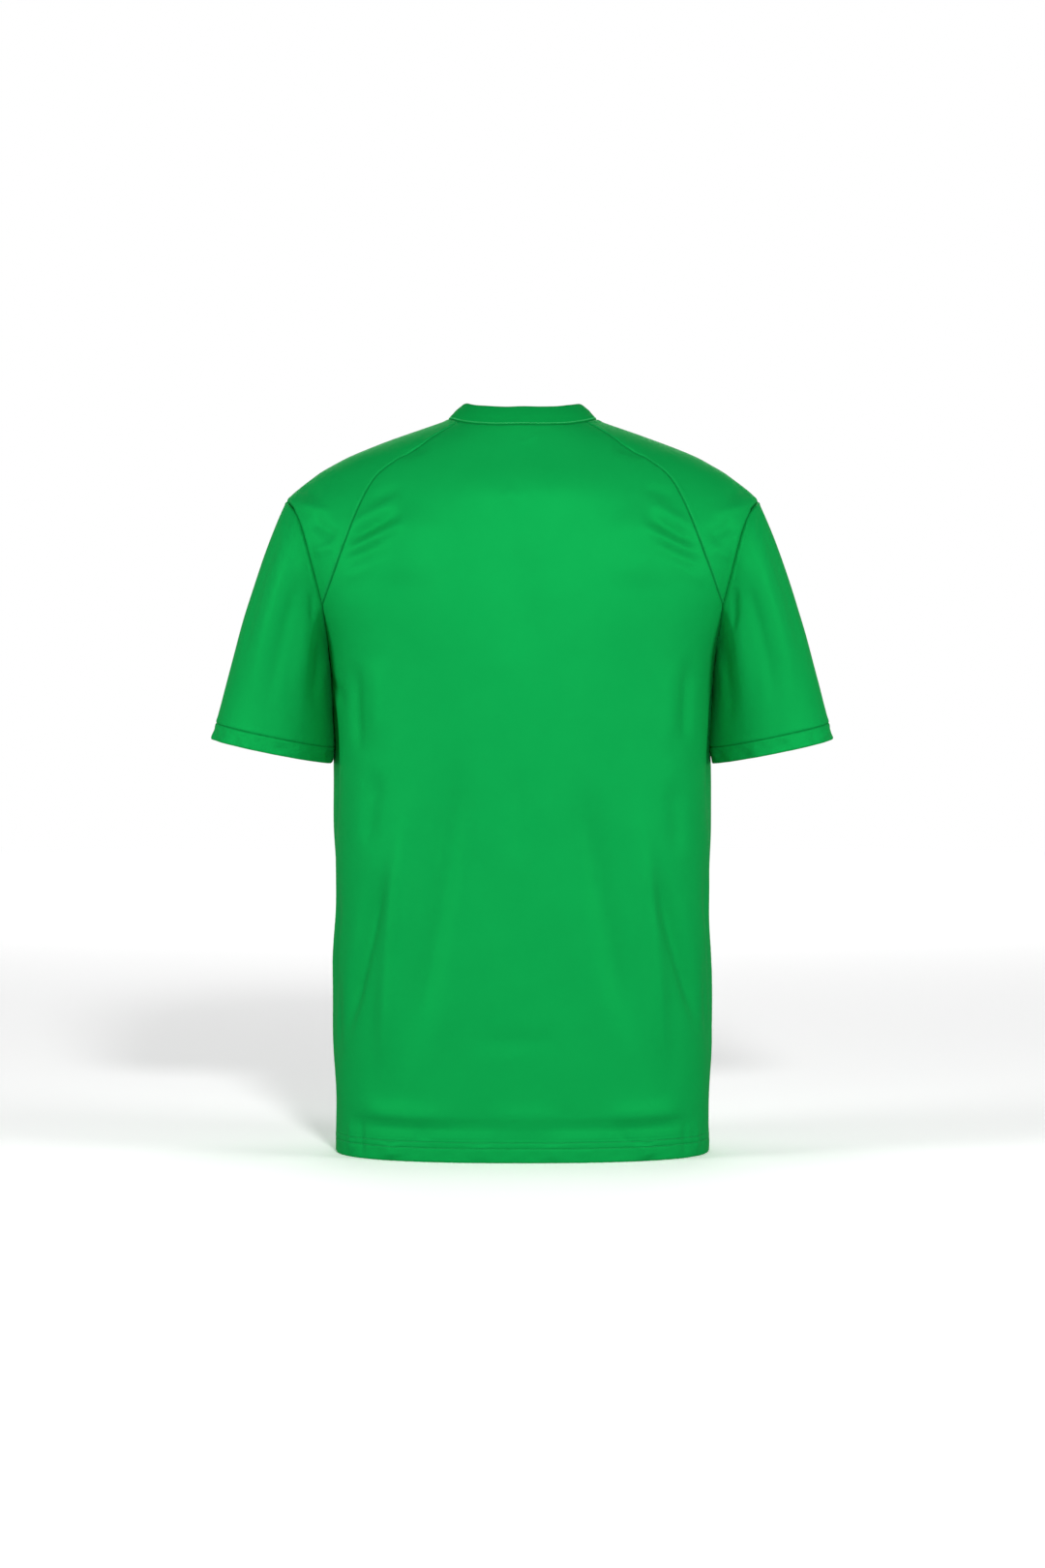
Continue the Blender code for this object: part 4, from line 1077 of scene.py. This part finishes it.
def collar(name, material):
    path = neck_ring()
    base, edge, along, out = collar_frame(path)
    places = spread(ROWS_COLLAR, 22.0, 22.0, 0.45)
    down = (places * COLLAR_WIDTH)[:, None]
    up = ((1 - places) * COLLAR_WIDTH)[:, None]
    ring = (np.arange(len(path)) / len(path) * 2 * math.pi)[None]
    rows = edge[None] + down[..., None] * along[None]
    bow = 1.2 * np.sin(math.pi * places)[:, None] + 0 * ring
    # The smooth line comes back out of the seam within a few millimetres.
    back_out = 0.95 * groove_depth(base)[None] * step(down, 0.0, 2.4)
    raised = bow + back_out - 0.65 * bell(up, 1.1) + 0.20 * bell(up - 2.8, 2.2)
    raised = raised - 0.22 * bell(down - 7.2, 2.2) * (1 + 0.5 * np.sin(5 * ring + 0.6))
    raised = raised + 0.22 * wander(rows, 2.6, 0.5) * step(down, 0.0, 8.0)
    raised = raised + 0.10 * bell(down - 3.0, 2.6) * np.sin(ring * 74 + 2.0 * wander(rows, 7.0))
    outer = rows + raised[..., None] * out[None]
    inner = rows + (bow * 0.8 + 0.2 - 2.0 + 0.55 * bell(up, 1.1) - 0.2 * bell(up - 3.0, 2.5))[..., None] * out[None]
    # Painted shade along the neck seam.
    seam_shade = 0.8 * bell(down, 0.8) + 0 * ring
    around = lengths(np.concatenate([base, base[:1]]))
    v = down + 0 * ring
    left = np.stack([np.broadcast_to(around[:-1][None], v.shape), v], -1) * MM
    right = np.stack([np.broadcast_to(around[1:][None], v.shape), v], -1) * MM
    return add_shell(name, outer, inner, left, right, seam_shade, True, material)


# ----------------------------------------------------------------- stitches
def stitch_mesh(name, centres, alongs, normals, long, wide, high, material):
    """Small rounded stitches joined in one mesh, each a stretched octagonal bead."""
    rings = ((-0.5, 0.0), (-0.36, 0.72), (0.0, 1.0), (0.36, 0.72), (0.5, 0.0))
    sides = 6
    alongs = alongs / np.linalg.norm(alongs, axis=1, keepdims=True)
    across = np.cross(normals, alongs)
    across /= np.linalg.norm(across, axis=1, keepdims=True)
    normals = np.cross(alongs, across)
    local = []
    for share, size in rings[1:-1]:
        for k in range(sides):
            turn = 2 * math.pi * k / sides
            local.append((share * long, 0.5 * wide * size * math.cos(turn), 0.5 * high * size * math.sin(turn)))
    local.append((-0.5 * long, 0.0, 0.0))
    local.append((0.5 * long, 0.0, 0.0))
    local = np.array(local)
    faces = []
    for r in range(2):
        for k in range(sides):
            a, b = r * sides + k, r * sides + (k + 1) % sides
            faces.append((a, b, b + sides, a + sides))
    for k in range(sides):
        faces.append((3 * sides, (k + 1) % sides, k, k))
        faces.append((3 * sides + 1, 2 * sides + k, 2 * sides + (k + 1) % sides, 2 * sides + (k + 1) % sides))
    points = (
        centres[:, None] + local[None, :, :1] * alongs[:, None]
        + local[None, :, 1:2] * across[:, None] + local[None, :, 2:] * normals[:, None]
    )
    count = len(local)
    offset = (np.arange(len(centres)) * count)[:, None, None]
    quads = (np.array(faces)[None] + offset).reshape(-1, 4)
    is_triangle = quads[:, 2] == quads[:, 3]
    mesh = bpy.data.meshes.new(name)
    shifted = points.reshape(-1, 3) - np.array([0.0, 0.0, NECK_BASE])
    polygons = [tuple(int(x) for x in (q[:3] if t else q)) for q, t in zip(quads, is_triangle)]
    mesh.from_pydata((shifted * MM).tolist(), [], polygons)
    mesh.shade_smooth()
    mesh.materials.append(material)
    obj = bpy.data.objects.new(name, mesh)
    bpy.context.scene.collection.objects.link(obj)
    PIECES[name] = obj
    return obj


def evenly(path, pitch):
    """Directions and heights every pitch millimetres along a line on the body."""
    run = lengths(on_body(path))
    count = max(int(round(run[-1] / pitch)), 1)
    at = (np.arange(count) + 0.5) * run[-1] / count
    return np.stack([np.interp(at, run, path[:, k]) for k in range(2)], 1)


def hem_stitches(name, back, material):
    way = 1.0 if back else -1.0
    centres, alongs, normals = [], [], []
    for row in HEM_ROWS:
        ring = np.stack([way * np.linspace(0.004, math.pi - 0.004, 900), np.full(900, HEM + row)], 1)
        spot = evenly(ring, 2.6)
        d, h = spot[:, 0], spot[:, 1]
        base, normal = body(d, h), body_normal(d, h)
        fold = folds_at(d, h) + 0.34 - 0.42
        across, _ = unrolled(d, h, "back" if back else "front")
        fold = fold + 0.10 * np.sin(across * 2 * math.pi / 6.3 + 3.0 * wander(base, 9.0, row))
        fold = fold + 0.22 * bell(row - 8.0, 7.0) * wander(base, 5.0, 3.3)
        centres.append(base + (fold + 0.10)[:, None] * normal)
        alongs.append(body(d + 2e-3, h) - body(d - 2e-3, h))
        normals.append(normal)
    return stitch_mesh(
        name, np.concatenate(centres), np.concatenate(alongs), np.concatenate(normals), 1.65, 0.5, 0.36, material
    )


def raglan_stitches(name, found, side, material):
    """A fine row of stitches on the shoulder panel, along each of its raglan seams."""
    centres, alongs, normals = [], [], []
    for key in ("back_raglan", "front_raglan"):
        path = found[key] if side > 0 else far_side(found[key])
        spot = evenly(path, 2.0)[1:-1]
        base, normal = body(spot[:, 0], spot[:, 1]), body_normal(spot[:, 0], spot[:, 1])
        along = np.gradient(base, axis=0)
        along /= np.linalg.norm(along, axis=1, keepdims=True)
        out = np.cross(normal, along)
        out *= np.sign(out[:, :1] * side)
        off = 1.7
        lift = folds_at(spot[:, 0], spot[:, 1]) - groove_depth(base) * (
            0.75 * bell(off, 0.9) + 0.20 * bell(off, 4.2)
        ) + 0.42 * bell(off - 3.6, 2.0)
        centres.append(base + off * out + (lift + 0.12)[:, None] * normal)
        alongs.append(along)
        normals.append(normal)
    return stitch_mesh(
        name, np.concatenate(centres), np.concatenate(alongs), np.concatenate(normals), 1.5, 0.42, 0.34, material
    )


def collar_stitches(name, material):
    """The zigzag of the cover stitch along the foot of the collar."""
    path = neck_ring(400, 560, 440)
    run = lengths(np.concatenate([on_body(path), on_body(path[:1])]))
    count = int(round(run[-1] / 1.9))
    pick = np.searchsorted(run[:-1], (np.arange(count) + 0.5) * run[-1] / count) % len(path)
    spot = path[pick]
    base, edge, along, out = collar_frame(spot)
    ring = pick / len(path) * 2 * math.pi
    foot = 1.6
    lift = 0.95 * groove_depth(base) * step(np.full(len(base), foot), 0.0, 2.4) + 1.2 * math.sin(math.pi * foot / 22.0)
    lift = lift + 0.10 * bell(foot - 3.0, 2.6) * np.sin(ring * 74)
    centres = edge + foot * along + (lift + 0.22)[:, None] * out
    tangent = np.roll(base, -1, 0) - np.roll(base, 1, 0)
    tangent /= np.linalg.norm(tangent, axis=1, keepdims=True)
    slant = np.where(np.arange(count) % 2 == 0, 1.0, -1.0)[:, None]
    return stitch_mesh(name, centres, tangent + 0.9 * slant * along, out, 2.0, 0.62, 0.55, material)


# ---------------------------------------------------------------- materials
def knit(name, low, high, rib=False):
    """Fine interlock knit: wales and courses as bump, with slight shifts of colour and gloss, and painted shade along
    the seams.
    """
    made = bpy.data.materials.new(name)
    made.use_nodes = True
    tree = made.node_tree
    nodes, links = tree.nodes, tree.links
    shader = nodes["Principled BSDF"]
    shader.inputs["Metallic"].default_value = 0.0 if rib else 0.16
    shader.inputs["Specular IOR Level"].default_value = 0.06
    shader.inputs["Specular Tint"].default_value = (0.10, 1.0, 0.35, 1.0)
    shader.inputs["IOR"].default_value = 1.15
    shader.inputs["Sheen Weight"].default_value = 0.02
    shader.inputs["Sheen Roughness"].default_value = 0.45
    shader.inputs["Sheen Tint"].default_value = (0.10, 1.0, 0.35, 1.0)

    def node(kind, **settings):
        made_node = nodes.new(kind)
        for key, value in settings.items():
            setattr(made_node, key, value)
        return made_node

    def maths(operation, a, b=None, c=None):
        n = node("ShaderNodeMath", operation=operation)
        for socket, value in zip(n.inputs, (a, b, c)):
            if value is None:
                continue
            if hasattr(value, "is_linked") or hasattr(value, "links"):
                links.new(value, socket)
            else:
                socket.default_value = value
        return n.outputs[0]

    uv = node("ShaderNodeUVMap", uv_map="cloth")
    parts = node("ShaderNodeSeparateXYZ")
    links.new(uv.outputs["UV"], parts.inputs[0])
    wale = 1.35 if rib else 1.15
    course = 1.0 if rib else 0.95
    x = maths("MULTIPLY", parts.outputs["X"], 1000.0 / wale)
    y = maths("MULTIPLY", parts.outputs["Y"], 1000.0 / course)
    # Each wale is a column of V-shaped loops.
    lane = maths("PINGPONG", x, 0.5)
    loop = maths("SINE", maths("MULTIPLY", maths("ADD", y, maths("MULTIPLY", lane, 1.1)), 2 * math.pi))
    column_wave = maths("SINE", maths("MULTIPLY", lane, 2 * math.pi))
    height = maths("ADD", maths("MULTIPLY", column_wave, 0.75 if rib else 0.5), maths("MULTIPLY", loop, 0.25))

    grain = node("ShaderNodeTexNoise")
    grain.inputs["Scale"].default_value = 1900.0
    grain.inputs["Detail"].default_value = 2.0
    links.new(uv.outputs["UV"], grain.inputs["Vector"])
    height = maths("ADD", height, maths("MULTIPLY", grain.outputs[0], 0.35))
    bump = node("ShaderNodeBump")
    bump.inputs["Strength"].default_value = 0.55
    bump.inputs["Distance"].default_value = 0.00012
    links.new(height, bump.inputs["Height"])

    soft = node("ShaderNodeTexNoise")
    soft.inputs["Scale"].default_value = 26.0
    soft.inputs["Detail"].default_value = 3.0
    soft.inputs["Roughness"].default_value = 0.6
    links.new(uv.outputs["UV"], soft.inputs["Vector"])
    bump_soft = node("ShaderNodeBump")
    bump_soft.inputs["Strength"].default_value = 0.35
    bump_soft.inputs["Distance"].default_value = 0.0016
    links.new(soft.outputs[0], bump_soft.inputs["Height"])
    links.new(bump_soft.outputs["Normal"], bump.inputs["Normal"])
    links.new(bump.outputs["Normal"], shader.inputs["Normal"])

    heather = node("ShaderNodeTexNoise")
    heather.inputs["Scale"].default_value = 420.0
    heather.inputs["Detail"].default_value = 4.0
    links.new(uv.outputs["UV"], heather.inputs["Vector"])
    blend = maths("ADD", maths("MULTIPLY", soft.outputs[0], 0.55), maths("MULTIPLY", heather.outputs[0], 0.45))
    blend = maths("ADD", blend, maths("MULTIPLY", column_wave, 0.10))
    mix = node("ShaderNodeMix", data_type="RGBA")
    mix.inputs[6].default_value = (*low, 1.0)
    mix.inputs[7].default_value = (*high, 1.0)
    links.new(blend, mix.inputs[0])
    # Painted shade: the seam attribute darkens the base colour in the seam grooves and the hem's stitch rows, where
    # shade falls.
    seam = node("ShaderNodeAttribute", attribute_name="seam")
    seam_shade_colour = node("ShaderNodeMix", data_type="RGBA")
    seam_shade_colour.inputs[7].default_value = (low[0] * 0.5, low[1] * 0.42, low[2] * 0.42, 1.0)
    links.new(mix.outputs[2], seam_shade_colour.inputs[6])
    links.new(maths("MULTIPLY", seam.outputs["Fac"], 0.66), seam_shade_colour.inputs[0])
    links.new(seam_shade_colour.outputs[2], shader.inputs["Base Color"])
    gloss = maths("ADD", maths("MULTIPLY", heather.outputs[0], 0.12), 0.44 if not rib else 0.58)
    links.new(gloss, shader.inputs["Roughness"])
    return made


def thread(name, colour, shine=0.10):
    made = bpy.data.materials.new(name)
    made.use_nodes = True
    nodes, links = made.node_tree.nodes, made.node_tree.links
    shader = nodes["Principled BSDF"]
    shader.inputs["Roughness"].default_value = 0.5
    shader.inputs["Specular IOR Level"].default_value = shine
    where = nodes.new("ShaderNodeTexCoord")
    twist = nodes.new("ShaderNodeTexNoise")
    twist.inputs["Scale"].default_value = 900.0
    twist.inputs["Detail"].default_value = 3.0
    links.new(where.outputs["Object"], twist.inputs["Vector"])
    mix = nodes.new("ShaderNodeMix")
    mix.data_type = "RGBA"
    mix.inputs[6].default_value = (*(c * 0.75 for c in colour), 1.0)
    mix.inputs[7].default_value = (*(c * 1.2 for c in colour), 1.0)
    links.new(twist.outputs[0], mix.inputs[0])
    links.new(mix.outputs[2], shader.inputs["Base Color"])
    bump = nodes.new("ShaderNodeBump")
    bump.inputs["Strength"].default_value = 0.5
    bump.inputs["Distance"].default_value = 0.0001
    links.new(twist.outputs[0], bump.inputs["Height"])
    links.new(bump.outputs["Normal"], shader.inputs["Normal"])
    return made


# -------------------------------------------------------------------- stage
def stage(floor_z):
    """A plain pale floor, soft studio lights and the camera."""
    bpy.ops.mesh.primitive_circle_add(vertices=128, radius=5.2, fill_type="NGON", location=(0, 0, floor_z))
    floor = bpy.context.active_object
    floor.name = "studio_floor"
    made = bpy.data.materials.new("studio_floor")
    made.use_nodes = True
    nodes, links = made.node_tree.nodes, made.node_tree.links
    nodes.clear()
    out = nodes.new("ShaderNodeOutputMaterial")
    lit = nodes.new("ShaderNodeBsdfDiffuse")
    lit.inputs["Color"].default_value = (FLOOR_BOUNCE, FLOOR_BOUNCE, FLOOR_BOUNCE, 1.0)
    seen = nodes.new("ShaderNodeBsdfDiffuse")
    seen.inputs["Color"].default_value = (FLOOR_SEEN, FLOOR_SEEN, FLOOR_SEEN, 1.0)
    white = nodes.new("ShaderNodeEmission")
    white.inputs["Strength"].default_value = 1.0
    where = nodes.new("ShaderNodeTexCoord")
    far = nodes.new("ShaderNodeVectorMath")
    far.operation = "LENGTH"
    links.new(where.outputs["Object"], far.inputs[0])
    fade = nodes.new("ShaderNodeMapRange")
    fade.interpolation_type = "SMOOTHSTEP"
    fade.inputs["From Min"].default_value = 2.6
    fade.inputs["From Max"].default_value = 4.6
    links.new(far.outputs["Value"], fade.inputs["Value"])
    edge = nodes.new("ShaderNodeMixShader")
    links.new(fade.outputs[0], edge.inputs[0])
    links.new(seen.outputs[0], edge.inputs[1])
    links.new(white.outputs[0], edge.inputs[2])
    rays = nodes.new("ShaderNodeLightPath")
    mix = nodes.new("ShaderNodeMixShader")
    links.new(rays.outputs["Is Camera Ray"], mix.inputs[0])
    links.new(lit.outputs[0], mix.inputs[1])
    links.new(edge.outputs[0], mix.inputs[2])
    links.new(mix.outputs[0], out.inputs["Surface"])
    floor.data.materials.append(made)

    scene = bpy.context.scene
    scene.world = bpy.data.worlds.new("studio")
    scene.world.use_nodes = True
    nodes, links = scene.world.node_tree.nodes, scene.world.node_tree.links
    nodes.clear()
    out = nodes.new("ShaderNodeOutputWorld")
    soft = nodes.new("ShaderNodeBackground")
    plain = nodes.new("ShaderNodeBackground")
    plain.inputs["Color"].default_value = (1, 1, 1, 1)
    soft.inputs["Color"].default_value = (1, 1, 1, 1)
    sky = nodes.new("ShaderNodeTexCoord")
    parts = nodes.new("ShaderNodeSeparateXYZ")
    links.new(sky.outputs["Generated"], parts.inputs[0])
    height = nodes.new("ShaderNodeMapRange")
    height.interpolation_type = "SMOOTHSTEP"
    height.inputs["From Min"].default_value = 0.08
    height.inputs["From Max"].default_value = 0.62
    height.inputs["To Min"].default_value = WORLD_LOW
    height.inputs["To Max"].default_value = WORLD
    links.new(parts.outputs["Z"], height.inputs["Value"])
    links.new(height.outputs[0], soft.inputs["Strength"])
    rays = nodes.new("ShaderNodeLightPath")
    mix = nodes.new("ShaderNodeMixShader")
    links.new(rays.outputs["Is Camera Ray"], mix.inputs[0])
    links.new(soft.outputs[0], mix.inputs[1])
    links.new(plain.outputs[0], mix.inputs[2])
    links.new(mix.outputs[0], out.inputs["Surface"])
    scene.view_settings.view_transform = "Standard"
    scene.view_settings.look = "None"

    for name, azimuth, elevation, far_m, size, share, aim in LIGHTS:
        data = bpy.data.lights.new(name, "AREA")
        data.shape = "DISK"
        data.size = size
        data.energy = share * math.pi ** 2 * far_m ** 2
        light = bpy.data.objects.new(name, data)
        scene.collection.objects.link(light)
        a, e = math.radians(azimuth), math.radians(elevation)
        target = Vector((0.0, 0.0, aim))
        way = Vector((math.sin(a) * math.cos(e), math.cos(a) * math.cos(e), math.sin(e)))
        light.location = target + way * far_m
        light.rotation_euler = way.to_track_quat("Z", "Y").to_euler()

    camera_data = bpy.data.cameras.new("camera")
    camera_data.sensor_fit = "VERTICAL"
    camera_data.sensor_width = 24.0
    camera_data.sensor_height = 36.0
    camera_data.lens = CAMERA_LENS
    camera_data.clip_end = 100.0
    camera = bpy.data.objects.new("camera", camera_data)
    scene.collection.objects.link(camera)
    camera.location = (CAMERA_X, 8.0, floor_z + CAMERA_HEIGHT)
    camera.rotation_euler = (math.radians(90.0 - CAMERA_PITCH), 0.0, math.radians(180.0))
    scene.camera = camera


WORLD = 0.05       # the studio's light from overhead
WORLD_LOW = 0.55   # and from low down, all round
FLOOR_BOUNCE = 0.45
FLOOR_SEEN = 1.46
CAMERA_LENS = 189.1
CAMERA_X = 0.0
CAMERA_HEIGHT = 0.81
CAMERA_PITCH = 3.241
# name, azimuth from +Y towards +X, elevation, distance, size, share of full light, height aimed at
LIGHTS = (
    ("key", -6.0, 23.0, 5.0, 0.5, 0.46, -0.30),
        ("side_left", 62.0, 10.0, 4.0, 1.8, 0.46, -0.25),
    ("side_right", -62.0, 10.0, 4.0, 1.8, 0.41, -0.25),
    ("behind", 180.0, 18.0, 5.0, 3.0, 0.28, -0.30),
    ("top", 180.0, 80.0, 4.0, 1.6, 0.13, -0.10),
)


# -------------------------------------------------------------------- build
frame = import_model()
first_low, first_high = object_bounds()

jersey = knit("jersey_knit", GREEN, GREEN_LIGHT)
rib = knit("collar_rib", RIB_GREEN, tuple(c * 1.08 for c in RIB_GREEN), rib=True)
stitching = thread("thread", THREAD)
pale = thread("pale_thread", PALE_THREAD)

found = seams()
left_lines = {key: on_body(path) for key, path in found.items()}
right_lines = {key: on_body(far_side(path)) for key, path in found.items()}
back_lines, front_lines = [], []
for lines in (left_lines, right_lines):
    back_lines += [lines["side"], lines["under_back"], lines["back_raglan"], lines["neck_back"]]
    front_lines += [lines["side"], lines["under_front"], lines["front_raglan"], lines["neck_front"]]

centre_panel("jersey_back", found, True, back_lines, jersey)
centre_panel("jersey_front", found, False, front_lines, jersey)
for tag, side, lines in (("l", 1, left_lines), ("r", -1, right_lines)):
    around = [lines["back_raglan"], lines["front_raglan"], lines["neck_side"], lines["over"]]
    shoulder_panel("jersey_shoulder_" + tag, found, side, around, jersey)
    _, turns, bottom = sleeve("jersey_sleeve_" + tag, found, side, jersey)
    cuff("jersey_cuff_" + tag, turns, bottom, side, jersey)
collar("jersey_collar", rib)
hem_stitches("hem_stitches_back", True, stitching)
hem_stitches("hem_stitches_front", False, stitching)
collar_stitches("collar_stitches", pale)
raglan_stitches("raglan_stitches_l", found, 1, stitching)
raglan_stitches("raglan_stitches_r", found, -1, stitching)

# piece, node, flat width and length in metres, slot, pieces on it
CUTS = (
    ("jersey_back", "back_panel", 0.560, 0.760, "jersey_knit", ("hem_stitches_back",)),
    ("jersey_front", "front_panel", 0.560, 0.720, "jersey_knit", ("hem_stitches_front",)),
    ("jersey_shoulder_l", "shoulder_panel_l", 0.350, 0.245, "jersey_knit", ("raglan_stitches_l",)),
    ("jersey_shoulder_r", "shoulder_panel_r", 0.350, 0.245, "jersey_knit", ("raglan_stitches_r",)),
    ("jersey_sleeve_l", "sleeve_l", 0.455, 0.240, "jersey_knit", ()),
    ("jersey_sleeve_r", "sleeve_r", 0.455, 0.240, "jersey_knit", ()),
    ("jersey_cuff_l", "cuff_l", 0.366, 0.018, "jersey_knit", ()),
    ("jersey_cuff_r", "cuff_r", 0.366, 0.018, "jersey_knit", ()),
    ("jersey_collar", "collar", 0.450, 0.024, "collar_rib", ("collar_stitches",)),
)
for name, obj in PIECES.items():
    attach(obj, "root")
for name, node, width, length, slot, on_it in CUTS:
    obj = PIECES[name]
    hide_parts(node)

stage(first_low.z)
